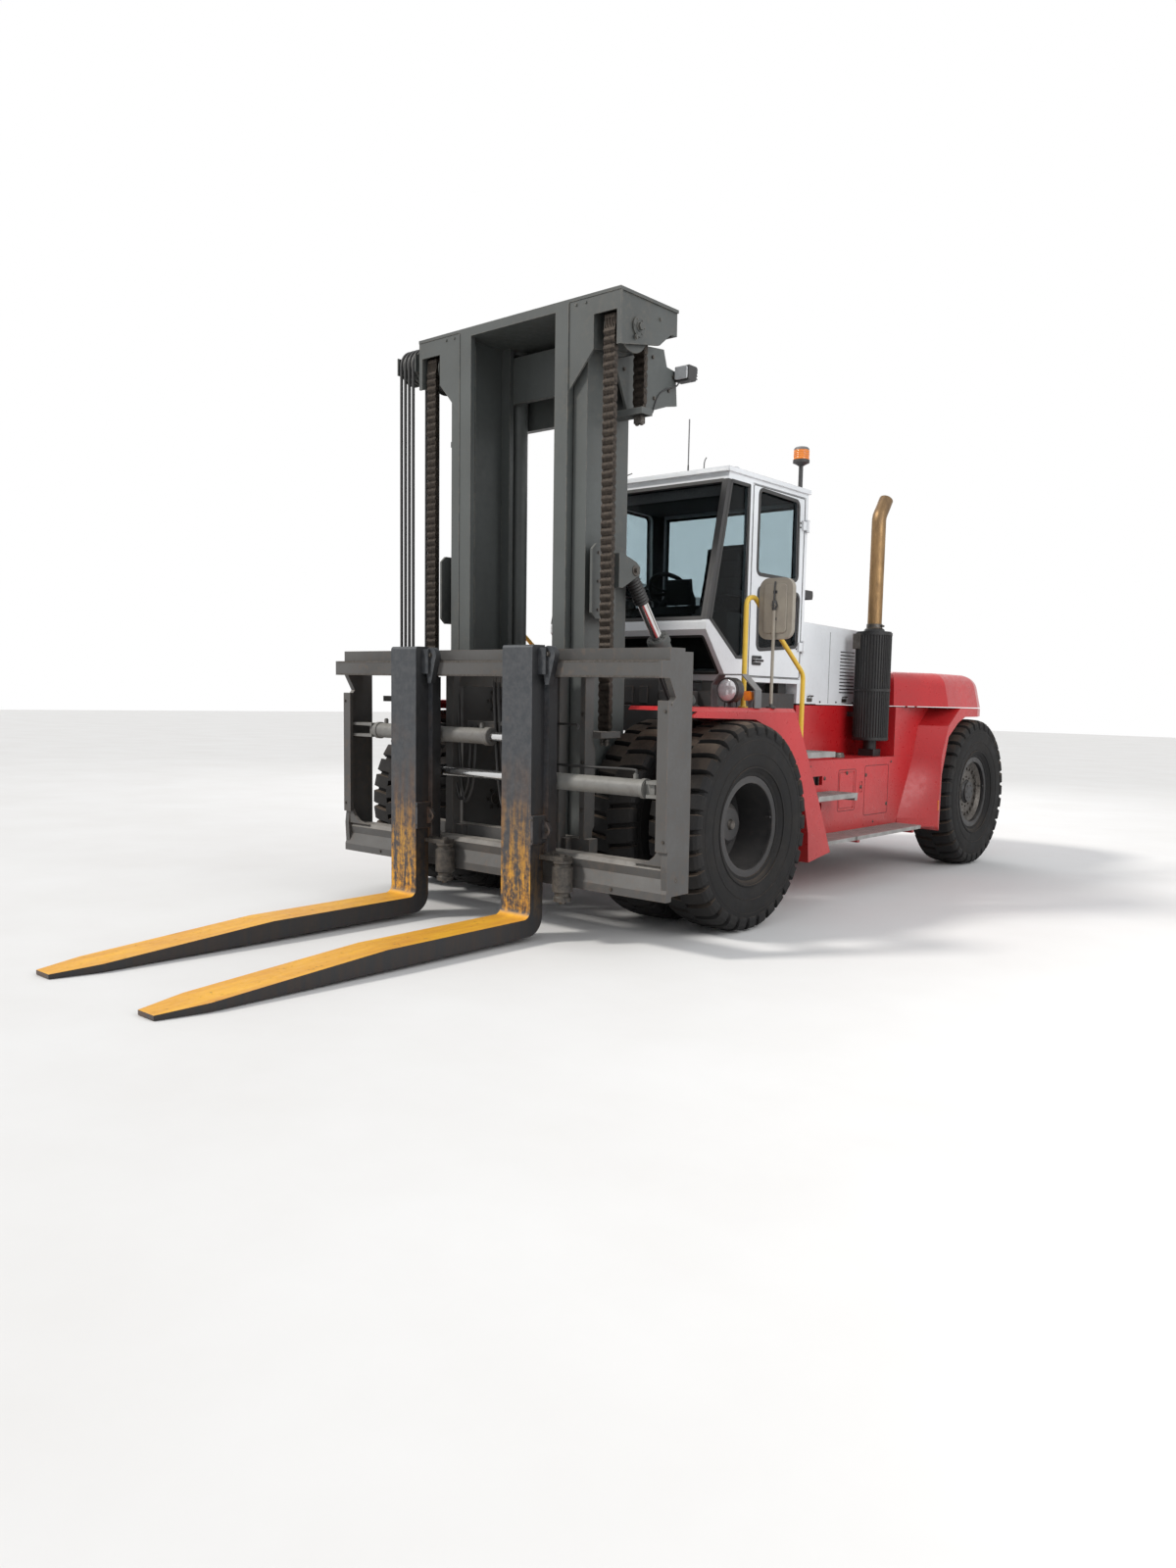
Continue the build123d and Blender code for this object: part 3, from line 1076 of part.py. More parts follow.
def shift_frame():
    """Wide fork frame: stepped top bar, lower beam, end plates and hooks"""
    half = FRAME_WIDTH / 2
    ends = (frame_x(-half), frame_x(half))
    bar = side_plate([(BAR_FRONT_Y, BAR_LOW_Z), (BAR_FRONT_Y, BAR_STEP_Z), (BAR_STEP_Y, BAR_STEP_Z),
                      (BAR_STEP_Y, BAR_TOP_Z),
                      (BAR_BACK_Y, BAR_TOP_Z), (BAR_BACK_Y, BAR_LOW_Z)], ends)
    beam = side_plate([(BEAM_BACK_Y, BEAM_TOP_Z), (-1060, BEAM_TOP_Z), (-1082, 530), (-1070, 478),
                       (BEAM_FRONT_Y, 400),
                       (BEAM_FRONT_Y, BEAM_LOW_Z), (-1050, BEAM_LOW_Z), (-1040, 430),
                       (BEAM_BACK_Y, 440)], ends)
    plates = []
    gussets = []
    for sign in (-1, 1):
        x = sorted((frame_x(sign * half), frame_x(sign * (half - 40))))
        plates.append(side_plate([(BAR_FRONT_Y + 70, 1640), (-1040, 1520), (-1090, 1460), (-1090, 640),
                                  (BEAM_FRONT_Y, 556), (BEAM_FRONT_Y + 10, 380),
                                  (-880, 380), (-880, BAR_TOP_Z - 20), (BAR_BACK_Y - 50, BAR_TOP_Z - 20)], x))
        face = sorted((frame_x(sign * half), frame_x(sign * (half - 75))))
        plates.append(block(face, (-1110, -1085), (640, 1500)))
        corner = frame_x(sign * (half - 40))
        gussets.append(corner_gusset(corner, sign))
    posts = [block((frame_x(x), frame_x(x) + 70), (BAR_BACK_Y - 10, -900),
                   (440, BAR_TOP_Z - 30)) for x in (-520, 450)]
    hook_top = 1720 + PAD_FIT
    hooks = []
    for x in (-560, 390):
        span = (frame_x(x), frame_x(x) + 170)
        hooks.append(block(span, (BAR_BACK_Y - 1, -780), (hook_top, hook_top + 36)))
        hooks.append(block(span, (-804, -780), (1696, hook_top + 1)))
        hooks.append(block(span, (-940, -890 - PAD_FIT), (520, 620)))
    return joined([bar, beam] + plates + gussets + posts + hooks)


def corner_gusset(corner, sign):
    """Hollow curved gusset from an end plate down to the lower beam's top"""
    low = BEAM_TOP_Z - 1
    inward = corner + sign
    # Columns: distance from the end plate, height above the beam
    curve = [(210, 0), (150, 6), (100, 22), (58, 52), (28, 98), (10, 160), (0, 240)]
    hollow = [(inward - sign * off, low + rise) for off, rise in curve]
    return front_plate(hollow + [(inward, low)], (-1090, -1066))


CYLINDER_Y = -1035
# Columns: height, side of its clevis, clevis reach, barrel length, rod inside at rest
FORK_CYLINDERS = [
    (1238, -1, 250, 1150, 735),
    (988, 1, 150, 1060, 620),
]


def fork_cylinders():
    """Barrels of the two fork cylinders, with clevises on the end plates"""
    half = FRAME_WIDTH / 2 - 40
    parts = []
    for z, sign, reach, length, inside in FORK_CYLINDERS:
        wall = frame_x(sign * half)
        foot = wall - sign * reach
        gland = foot - sign * length
        barrel = sorted((foot, gland))
        hollow = sorted((foot - sign * 60, gland - sign))
        body = round_x(52, barrel, CYLINDER_Y, z) - round_x(30 + RUN_FIT, hollow, CYLINDER_Y, z)
        eye = block(sorted((foot, foot + sign * 62)), (CYLINDER_Y - 18, CYLINDER_Y + 18), (z - 30, z + 30))
        ears = [block(sorted((wall, foot + sign * 15)), (CYLINDER_Y - 40, CYLINDER_Y + 40),
                      (z + low, z + low + 20))
                for low in (-50, 30)]
        pin = round_z(18, foot + sign * 40, CYLINDER_Y, (z - 50, z + 50))
        parts.append(joined([body, eye, pin] + ears))
    return group(parts)


def fork(number):
    """Fork with its carrier, lug, guide roller, stop tab and cylinder rod"""
    sign = 1 if number else -1
    x = FORK_MIDDLE_X + sign * FORK_SPACING / 2
    half = FORK_WIDTH / 2
    back = BAR_FRONT_Y - PAD_FIT
    front = back - FORK_THICK
    top = FORK_UNDER_Z + FORK_THICK
    shape = [(back, FORK_TOP_Z), (back, FORK_UNDER_Z), (FORK_TIP_Y, FORK_UNDER_Z),
             (FORK_TIP_Y, FORK_UNDER_Z + FORK_TIP_THICK),
             (FORK_TIP_Y + 1300, top), (front, top), (front, FORK_TOP_Z)]
    blade = side_plate(shape, (x - half, x + half), {1: 120, 5: 50, 6: 20})
    for s in (-1, 1):
        edge = x + s * half
        blade -= plan_plate([(edge + s, FORK_TIP_Y - 1), (edge - s * 55, FORK_TIP_Y - 1),
                             (edge + s, FORK_TIP_Y + 260)],
                            (FORK_UNDER_Z - 1, FORK_UNDER_Z + FORK_THICK))
    carrier_y = (back, BEAM_FRONT_Y - CLEAR)
    carrier = block((x - half, x + half + 40), carrier_y, (590, BAR_LOW_Z - CLEAR))
    lug = fork_lug(x + half)
    lug_arm = block((x + half - 1, x + half + 60), (BAR_FRONT_Y - 60, BAR_FRONT_Y - PAD_FIT), (1640, 1800))
    hook = block((x - half, x + half), (back, BAR_STEP_Y - CLEAR), (BAR_STEP_Z + PAD_FIT, FORK_TOP_Z - 20))
    roller_x = x + half + 150
    roller_y = BEAM_FRONT_Y - PAD_FIT - ROLLER_RADIUS
    roller = guide_roller(roller_x, roller_y)
    plates = block((x + half - 1, roller_x + 40), (roller_y - 45, roller_y + 45), (520, 548))
    link = block((x + half - 1, x + half + 40), carrier_y, (520, 592))
    tab = front_plate([(x + half - 1, 616), (x + half + 24, 616), (x + half + 24, 791), (x + half - 1, 791)],
                      (front - 8, back), {1: 12, 2: 12})
    holder = front_plate([(x + half - 1, 640), (x + half + 60, 655), (x + half + 96, 700),
                          (x + half + 60, 745), (x + half - 1, 765)],
                         (back - 34, back - 12), {2: 30})
    holder = holder - round_y(14, x + half + 56, (back - 35, back - 11), 700)
    rod = fork_rod(number, x, half)
    return joined([blade, carrier, lug, lug_arm, hook, roller, plates, link, tab, holder, rod])


def fork_lug(edge):
    """Tear-drop lug with its pin hole, beside the fork's top"""
    middle = edge + 64
    crown = round_y(54, middle, (BAR_FRONT_Y - 42, BAR_FRONT_Y - PAD_FIT), 1757)
    tail = front_plate([(middle - 54, 1757), (middle + 54, 1757), (middle + 6, 1579), (middle - 24, 1579)],
                       (BAR_FRONT_Y - 42, BAR_FRONT_Y - PAD_FIT))
    return (crown + tail) - round_y(17, middle, (BAR_FRONT_Y - 43, BAR_FRONT_Y), 1762)


def guide_roller(x, y):
    """Upright spool roller that runs on the lower beam's face"""
    r = ROLLER_RADIUS
    # Columns: radius, height
    side = [(0, 276), (r - 8, 276), (r - 8, 300), (r - 16, 308), (r - 16, 326), (r, 336),
            (r, 480), (r - 14, 490), (r - 14, 502), (r - 4, 510), (r - 4, 524), (0, 524)]
    face = Plane.XZ * make_face(Polyline(*side, close=True))
    return Pos(x, y, 0) * revolve(face, Axis.Z)


def fork_rod(number, x, half):
    """Cylinder rod that moves one fork, with its arm behind the carrier"""
    z, sign, reach, length, inside = FORK_CYLINDERS[0 if number else 1]
    gland = frame_x(sign * (FRAME_WIDTH / 2 - 40)) - sign * (reach + length)
    end = x + sign * (half - 20)
    rod = round_x(30, sorted((gland + sign * inside, end)), CYLINDER_Y, z)
    arm = block(sorted((end, end - sign * 50)), (BEAM_FRONT_Y - CLEAR - 1, CYLINDER_Y + 36), (z - 45, z + 45))
    return rod + arm


def tilt_frame(shape):
    """Place a piece drawn along +X from the chassis pin towards the mast's pin"""
    turn = Rot(180 - tilt_span()[1], 0, 0)
    return Pos(TILT_X, TILT_FOOT_Y, TILT_FOOT_Z) * turn * shape


def tilt_barrel():
    """Left tilt cylinder barrel with its eye"""
    eye = round_x(52, (-34, 34), 0, 0) - round_x(30 + RUN_FIT, (-35, 35), 0, 0)
    body = round_y(TILT_RADIUS, 0, (75, 640), 0) - round_y(TILT_ROD + RUN_FIT, 0, (110, 641), 0)
    neck = block((-30, 30), (30, 90), (-35, 35)) - round_x(30 + RUN_FIT, (-35, 35), 0, 0)
    return tilt_frame(joined([eye, body, neck]))


def tilt_rod():
    """Left tilt cylinder rod with its eye"""
    length = tilt_span()[0]
    rod = round_y(TILT_ROD, 0, (380, length - 40), 0)
    eye = round_x(50, (-32, 32), length, 0)
    pin = round_x(25, (-EAR_GAP + RUN_FIT, EAR_GAP - RUN_FIT), length, 0)
    return tilt_frame(joined([rod, eye, pin]))


# All nodes by name
def build_nodes():
    """Every piece of the truck, by the name of its file"""
    tyres, rims = front_wheel_parts()
    rear_tyre, rear_rim = rear_wheel_parts()
    nodes = {
        "frame": frame(),
        "front_axle": front_axle(),
        "front_fenders": group([front_fender(), mirrored(front_fender())]),
        "side_boxes": group([side_box(), mirrored(side_box())]),
        "steps": group([side_steps(), mirrored(side_steps())]),
        "rear_body": joined([rear_body(), hood_pins(), rear_hood_pins()]),
        "engine": engine(),
        "rear_axle": rear_axle(),
        "cab_shell": cab_shell(),
        "cab_glass": cab_glass(),
        "cab_fittings": cab_fittings(),
        "seat_cushions": seat_cushions(),
        "muffler": muffler(),
        "handrails": group([handrail(), mirrored(handrail())]),
        "mirrors": group([mirror_stand(), mirrored(mirror_stand())]),
        "lamps": group([headlamp(), mirrored(headlamp()), beacon()]),
        "engine_hood": engine_hood(),
        "rear_hood": rear_hood(),
        "door_left": door(),
        "door_left_glass": door_glass(),
        "door_right": mirrored(door()),
        "door_right_glass": mirrored(door_glass()),
        "front_tyres_left": tyres,
        "front_rims_left": rims,
        "front_tyres_right": mirrored(tyres),
        "front_rims_right": mirrored(rims),
        "knuckle_left": knuckle(),
        "knuckle_right": mirrored(knuckle()),
        "rear_tyre_left": rear_tyre,
        "rear_rim_left": rear_rim,
        "rear_tyre_right": mirrored(rear_tyre),
        "rear_rim_right": mirrored(rear_rim),
        "steer_rod": steer_rod(),
        "steer_link_left": steer_link(),
        "steer_link_right": mirrored(steer_link()),
        "outer_mast": lean(outer_mast()),
        "mast_brackets": lean(group([mast_bracket(), mirrored(mast_bracket())])),
        "lift_barrels": lean(lift_barrels()),
        "inner_mast": lean(inner_mast()),
        "lift_rods": lean(lift_rods()),
        "mast_chains": lean(mast_chains()),
        "mast_hoses": lean(mast_hoses()),
        "carriage": lean(carriage()),
        "shift_frame": lean(shift_frame()),
        "fork_cylinders": lean(fork_cylinders()),
        "fork_left": lean(fork(1)),
        "fork_right": lean(fork(0)),
        "tilt_barrel_left": tilt_barrel(),
        "tilt_barrel_right": mirrored(tilt_barrel()),
        "tilt_rod_left": tilt_rod(),
        "tilt_rod_right": mirrored(tilt_rod()),
    }
    return nodes


def main():
    os.makedirs("parts", exist_ok=True)
    home = Pos(-ORIGIN_X, -ORIGIN_Y, 0)
    for name, shape in build_nodes().items():
        export_step(home * shape, "parts/" + name + ".step")


main()
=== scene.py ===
import bpy
import bmesh
from math import atan, atan2, cos, exp, pi, radians, sin, tan
from mathutils import Matrix, Vector


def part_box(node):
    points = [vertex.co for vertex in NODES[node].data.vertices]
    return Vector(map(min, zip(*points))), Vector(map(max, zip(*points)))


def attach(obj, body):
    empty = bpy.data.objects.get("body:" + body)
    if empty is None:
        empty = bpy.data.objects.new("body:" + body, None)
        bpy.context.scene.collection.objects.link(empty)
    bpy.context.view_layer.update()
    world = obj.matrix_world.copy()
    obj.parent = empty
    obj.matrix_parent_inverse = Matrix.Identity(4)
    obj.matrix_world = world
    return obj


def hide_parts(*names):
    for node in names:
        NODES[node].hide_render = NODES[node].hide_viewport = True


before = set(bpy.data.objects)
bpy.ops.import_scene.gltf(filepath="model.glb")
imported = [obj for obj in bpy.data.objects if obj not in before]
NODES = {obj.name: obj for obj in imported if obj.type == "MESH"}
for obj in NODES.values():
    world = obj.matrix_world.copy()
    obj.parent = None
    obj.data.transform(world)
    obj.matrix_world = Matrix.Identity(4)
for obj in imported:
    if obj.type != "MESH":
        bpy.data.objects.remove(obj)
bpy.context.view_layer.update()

# Places are given in millimetres from the ground under the middle of the drive axle
LOW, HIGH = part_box("frame")
OX = -(LOW[0] + HIGH[0]) / 2
LOW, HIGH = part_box("front_rims_left")
OY = -(LOW[1] + HIGH[1]) / 2
MM = 0.001


def V(x, y, z):
    """Point of the truck, given in metres from the axle, in the model's frame"""
    return Vector((x - OX, y - OY, z))


# The mast leans forward about its pivot
PIVOT = Vector((0, -270, 420))
LEAN_ANGLE = radians(0.8)
LEAN = Matrix.Translation(PIVOT) @ Matrix.Rotation(LEAN_ANGLE, 4, "X") @ Matrix.Translation(-PIVOT)
PLAIN = Matrix.Identity(4)
MIRROR = Matrix.Diagonal((-1, 1, 1, 1))
SIDES = (("left", 1, PLAIN), ("right", -1, MIRROR))

# Middles that several pieces share, on the truck's left side; 0 where the height or length is free
TYRE = 685
STEER_Y = 4250
SHEAVE = (815, -525, 3800)
LIFT = (440, -184, 0)
TILT_FOOT = Vector((700, 393, 1405))
TILT_PIN = Vector((700, -313, 2331))
CYLINDER_Y = -1035
UPPER_CYLINDER_Z, LOWER_CYLINDER_Z = 1238, 988
LAMP = (1178, 0, 1566)
BEACON = (700, 1830, 0)
MUFFLER = (915, 2795, 0)
FORKS = (("fork_right", -416), ("fork_left", 630))
SEAT = 75


def add_object(name, data):
    """Object for a piece of data, in the scene"""
    obj = bpy.data.objects.new(name, data)
    bpy.context.scene.collection.objects.link(obj)
    return obj


def look():
    """Camera at the photograph's place"""
    yaw, pitch, roll = radians(40.35), radians(-4.46), radians(1.33)
    forward = Vector((-sin(yaw) * cos(pitch), cos(yaw) * cos(pitch), sin(pitch)))
    right = Vector((cos(yaw), sin(yaw), 0))
    up = right.cross(forward)
    r2 = cos(roll) * right + sin(roll) * up
    u2 = -sin(roll) * right + cos(roll) * up
    data = bpy.data.cameras.new("camera")
    data.lens = 25.879
    data.sensor_width = 36
    data.clip_end = 400
    cam = add_object("camera", data)
    rot = Matrix((r2, u2, -forward)).transposed().to_4x4()
    cam.matrix_world = Matrix.Translation(V(5.38547, -6.21935, 1.50409)) @ rot
    bpy.context.scene.camera = cam


# Material helpers
class Mat:
    """Small builder for node materials"""

    def __init__(self, name):
        self.mat = bpy.data.materials.new(name)
        self.mat.use_nodes = True
        self.tree = self.mat.node_tree
        self.tree.nodes.clear()
        self.out = self.node("OutputMaterial")
        self.bsdf = self.node("BsdfPrincipled")
        self.link(self.bsdf, "BSDF", self.out, "Surface")
        self.coord = self.node("TexCoord")

    def node(self, kind, **values):
        n = self.tree.nodes.new("ShaderNode" + kind)
        for key, value in values.items():
            setattr(n, key, value)
        return n

    def link(self, a, out, b, inp):
        self.tree.links.new(a.outputs[out], b.inputs[inp])

    def plug(self, value, socket):
        if isinstance(value, (int, float)):
            socket.default_value = value
        elif isinstance(value[0], (int, float)):
            socket.default_value = (*value, 1)
        else:
            self.tree.links.new(value[0].outputs[value[1]], socket)

    def noise(self, scale, detail=6, rough=0.6, stretch=None):
        n = self.node("TexNoise")
        for key, value in (("Scale", scale), ("Detail", detail), ("Roughness", rough)):
            n.inputs[key].default_value = value
        if stretch:
            m = self.node("Mapping")
            m.inputs["Scale"].default_value = stretch
            self.link(self.coord, "Object", m, "Vector")
            self.link(m, "Vector", n, "Vector")
        else:
            self.link(self.coord, "Object", n, "Vector")
        return n, "Fac"

    def mix(self, fac, a, b):
        n = self.node("Mix", data_type="RGBA")
        self.plug(fac, n.inputs[0])
        self.plug(a, n.inputs[6])
        self.plug(b, n.inputs[7])
        return n, 2

    def math(self, op, a, b=None, clamp=False):
        n = self.node("Math", operation=op, use_clamp=clamp)
        self.plug(a, n.inputs[0])
        if b is not None:
            self.plug(b, n.inputs[1])
        return n, 0

    def times(self, a, b, clamp=False):
        return self.math("MULTIPLY", a, b, clamp)

    def plus(self, a, b):
        return self.math("ADD", a, b)

    def most(self, a, b, clamp=False):
        return b if a is None else self.math("MAXIMUM", a, b, clamp)

    def remap(self, src, lo, hi, a=0.0, b=1.0):
        n = self.node("MapRange", clamp=True)
        for key, value in (("From Min", lo), ("From Max", hi), ("To Min", a), ("To Max", b)):
            n.inputs[key].default_value = value
        self.plug(src, n.inputs["Value"])
        return n, "Result"

    def part(self, source, out, which):
        n = self.node("SeparateXYZ")
        self.link(source, out, n, "Vector")
        return n, "XYZ".index(which)

    def axis(self, which):
        return self.part(self.coord, "Object", which)

    def facing(self, which):
        return self.part(self.node("NewGeometry"), "Normal", which)

    def edge(self):
        """Edges, found as places where a rounded normal leaves the face's own"""
        g = self.node("NewGeometry")
        b = self.node("Bevel", samples=4)
        b.inputs["Radius"].default_value = 0.008
        dot = self.node("VectorMath", operation="DOT_PRODUCT")
        self.link(g, "Normal", dot, 0)
        self.link(b, "Normal", dot, 1)
        return self.remap((dot, "Value"), 0.995, 0.9)

    def set(self, name, value):
        self.plug(value, self.bsdf.inputs[name])

    def bump(self, src, strength=0.3, distance=0.002):
        n = self.node("Bump")
        n.inputs["Strength"].default_value = strength
        n.inputs["Distance"].default_value = distance
        self.plug(src, n.inputs["Height"])
        self.link(n, "Normal", self.bsdf, "Normal")


def paint(name, base, dark, wear, rough, dust, dust_amount, rust, low_dirt=None, edge_wear=0.6, hollow_shade=None):
    """Old machine paint: fading, streaks, dust on what faces up, bare or rusty edges, and painted shade
    inside the mast's hollow when asked
    """
    m = Mat(name)
    big = m.noise(1.3, 5, 0.55)
    fine = m.noise(22, 8, 0.65)
    streak = m.noise(3.0, 6, 0.6, stretch=(5.0, 5.0, 0.5))
    col = m.mix(m.remap(big, 0.35, 0.68), base, dark)
    col = m.mix(m.remap(streak, 0.55, 0.78, 0, 0.35), col, dark)
    grime = m.times(m.remap(fine, 0.5, 0.72), m.remap(big, 0.4, 0.6), True)
    col = m.mix(m.times(grime, rust), col, wear)
    up = m.remap(m.facing("Z"), 0.3, 0.95)
    dusty = m.times(up, m.remap(m.noise(6, 7, 0.7), 0.3, 0.65, 0.25 * dust_amount, dust_amount))
    col = m.mix(dusty, col, dust)
    if low_dirt:
        low, high, amount, tone = low_dirt
        fade = m.remap(m.axis("Z"), low, high, amount, 0.0)
        fade = m.times(fade, m.remap(m.noise(4, 6, 0.7), 0.25, 0.7, 0.4, 1.0))
        col = m.mix(fade, col, tone)
    e = m.times(m.edge(), m.remap(m.noise(14, 6, 0.7), 0.42, 0.62))
    col = m.mix(m.times(e, edge_wear), col, wear)
    if hollow_shade:
        # Painted shade: near black inside the mast's channels, found by half width, front and back of the
        # hollow
        half, front, back = hollow_shade
        side = m.math("ABSOLUTE", m.plus(m.axis("X"), OX))
        upright = m.plus(m.axis("Y"), m.times(m.axis("Z"), tan(LEAN_ANGLE)))
        inside = m.times(m.remap(side, half, half - 0.004), m.remap(upright, front - 0.002, front + 0.002))
        inside = m.times(inside, m.remap(upright, back + 0.002, back - 0.002))
        col = m.mix(m.times(inside, m.remap(fine, 0.3, 0.7, 0.95, 0.72)), col, (0.01, 0.01, 0.011))
    m.set("Base Color", col)
    m.set("Roughness", m.remap(fine, 0.3, 0.7, rough - 0.08, rough + 0.16))
    m.bump(fine, 0.12, 0.0015)
    return m.mat


def simple(name, base, other, scale, rough, metallic=0.0, bump=0.1, spread=0.1, stretch=None):
    """Plain material whose colour and gloss vary a little"""
    m = Mat(name)
    n = m.noise(scale, 6, 0.6, stretch=stretch)
    m.set("Base Color", m.mix(m.remap(n, 0.3, 0.7), base, other))
    m.set("Roughness", m.remap(n, 0.3, 0.7, max(0.02, rough - spread), rough + spread))
    m.set("Metallic", metallic)
    m.bump(n, bump, 0.001)
    return m.mat


def tyre_material():
    """Worn rubber with brown dust in patches and on what faces up"""
    m = Mat("tyre_rubber")
    n = m.noise(9, 7, 0.65)
    fine = m.noise(90, 5, 0.6)
    col = m.mix(m.remap(n, 0.35, 0.7), (0.009, 0.009, 0.01), (0.019, 0.018, 0.017))
    col = m.mix(m.remap(m.noise(3.2, 6, 0.7), 0.5, 0.75, 0, 0.35), col, (0.045, 0.039, 0.034))
    up = m.times(m.remap(m.facing("Z"), 0.35, 0.95), m.remap(m.noise(5, 7, 0.7), 0.35, 0.6, 0.1, 0.65))
    col = m.mix(up, col, (0.15, 0.11, 0.08))
    m.set("Base Color", col)
    m.set("Roughness", m.remap(n, 0.3, 0.7, 0.66, 0.92))
    m.set("Specular IOR Level", 0.25)
    m.bump(fine, 0.25, 0.002)
    return m.mat


def round_mask(m, y, z, radius):
    """1 inside a round bar along the X axis at (Y, Z)"""
    dy = m.math("SUBTRACT", m.axis("Y"), y)
    dz = m.math("SUBTRACT", m.axis("Z"), z)
    square = m.plus(m.times(dy, dy), m.times(dz, dz))
    return m.remap(square, radius ** 2, (radius - 0.0005) ** 2)


def fork_material():
    """Dark steel with rust, yellow paint worn from the blades, painted shade on their sides, and bright
    cylinder rods
    """
    m = Mat("fork_steel")
    fine = m.noise(26, 8, 0.7)
    big = m.noise(3.1, 6, 0.6)
    long = m.noise(2.0, 7, 0.65, stretch=(6, 1.2, 1.2))
    z = m.axis("Z")
    steel = m.mix(m.remap(fine, 0.4, 0.7), (0.04, 0.045, 0.052), (0.075, 0.078, 0.084))
    rust = m.mix(m.remap(fine, 0.35, 0.7), (0.095, 0.052, 0.032), (0.16, 0.098, 0.062))
    streaks = m.noise(2.6, 8, 0.7, stretch=(7.0, 7.0, 0.8))
    wavy = m.plus(z, m.remap(big, 0.25, 0.75, -0.45, 0.45))
    rusty = m.times(m.remap(wavy, 1.25, 0.6), m.remap(streaks, 0.4, 0.6, 0.05, 0.8))
    rusty = m.most(rusty, m.remap(streaks, 0.66, 0.76, 0.0, 0.55))
    body = m.mix(rusty, steel, rust)
    # Painted shade: faces turned to the truck's sides are darkened towards near black
    shaded_flank = m.remap(m.math("ABSOLUTE", m.facing("X")), 0.6, 0.9)
    body = m.mix(m.times(shaded_flank, 0.8), body, (0.014, 0.014, 0.015))
    yellow = m.mix(m.remap(long, 0.35, 0.7), (0.8, 0.42, 0.03), (0.62, 0.27, 0.032))
    up = m.remap(m.facing("Z"), 0.4, 0.8)
    level = m.plus(z, m.remap(m.noise(4, 5, 0.6), 0.2, 0.8, -0.16, 0.16))
    lower = m.remap(level, 0.85, 0.26)
    worn = m.remap(m.plus(streaks, m.remap(fine, 0.3, 0.7, -0.12, 0.12)), 0.44, 0.62, 0.0, 1.0)
    # The painted shade on the side faces also keeps the worn yellow off them
    front = m.remap(shaded_flank, 0.0, 1.0, 1.0, 0.08)
    sides = m.times(m.times(lower, worn), m.remap(z, 0.13, 0.2, 0.0, 0.9))
    sides = m.times(sides, front)
    tops = m.times(up, m.remap(fine, 0.6, 0.72, 1.0, 0.25))
    fac = m.most(tops, sides, True)
    # Only the blades are painted, not the rollers beside them
    painted = None
    for _, middle in FORKS:
        off = m.math("ABSOLUTE", m.math("SUBTRACT", m.axis("X"), middle * MM - OX))
        painted = m.most(painted, m.remap(off, 0.128, 0.126))
    fac = m.times(m.times(fac, painted), m.remap(z, 1.0, 0.9, 0.0, 1.0))
    rollers = m.times(m.remap(painted, 0, 1, 1.0, 0.0), m.remap(z, 0.56, 0.54))
    body = m.mix(rollers, body, m.mix(m.remap(fine, 0.35, 0.7), (0.03, 0.028, 0.026), (0.11, 0.095, 0.08)))
    col = m.mix(fac, body, yellow)
    mask = None
    for height in (UPPER_CYLINDER_Z, LOWER_CYLINDER_Z):
        p = LEAN @ Vector((0, CYLINDER_Y, height)) * MM
        mask = m.most(mask, round_mask(m, p.y - OY, p.z, 0.0315))
    m.set("Base Color", m.mix(mask, col, (0.62, 0.62, 0.62)))
    rough = m.remap(fine, 0.3, 0.7, 0.4, 0.66)
    m.set("Roughness", m.times(rough, m.remap(mask, 0, 1, 1.0, 0.28)))
    m.set("Metallic", m.remap(mask, 0, 1, 0.25, 0.95))
    m.bump(fine, 0.2, 0.002)
    return m.mat


def glass_material():
    """Tinted glass with faint smears"""
    m = Mat("window_glass")
    m.set("Base Color", (0.3, 0.345, 0.36))
    m.set("Transmission Weight", 1.0)
    m.set("IOR", 1.12)
    n = m.noise(4, 6, 0.7)
    m.set("Roughness", m.remap(n, 0.45, 0.8, 0.0, 0.06))
    return m.mat


def muffler_material():
    """Black heat paint below, scorched bronze pipe above"""
    m = Mat("exhaust_metal")
    n = m.noise(9, 7, 0.65, stretch=(3, 3, 0.7))
    fine = m.noise(40, 6, 0.6)
    black = m.mix(m.remap(fine, 0.4, 0.7), (0.007, 0.007, 0.008), (0.016, 0.015, 0.014))
    bronze = m.mix(m.remap(n, 0.3, 0.7), (0.33, 0.205, 0.095), (0.185, 0.115, 0.058))
    bronze = m.mix(m.remap(m.axis("Z"), 2.9, 3.25, 0.0, 0.5), bronze, (0.1, 0.075, 0.055))
    up = m.remap(m.axis("Z"), 2.135, 2.15)
    m.set("Base Color", m.mix(up, black, bronze))
    m.set("Roughness", m.remap(n, 0.3, 0.7, 0.38, 0.6))
    m.set("Metallic", m.remap(up, 0, 1, 0.1, 0.85))
    m.bump(fine, 0.15, 0.0012)
    return m.mat


M = {}
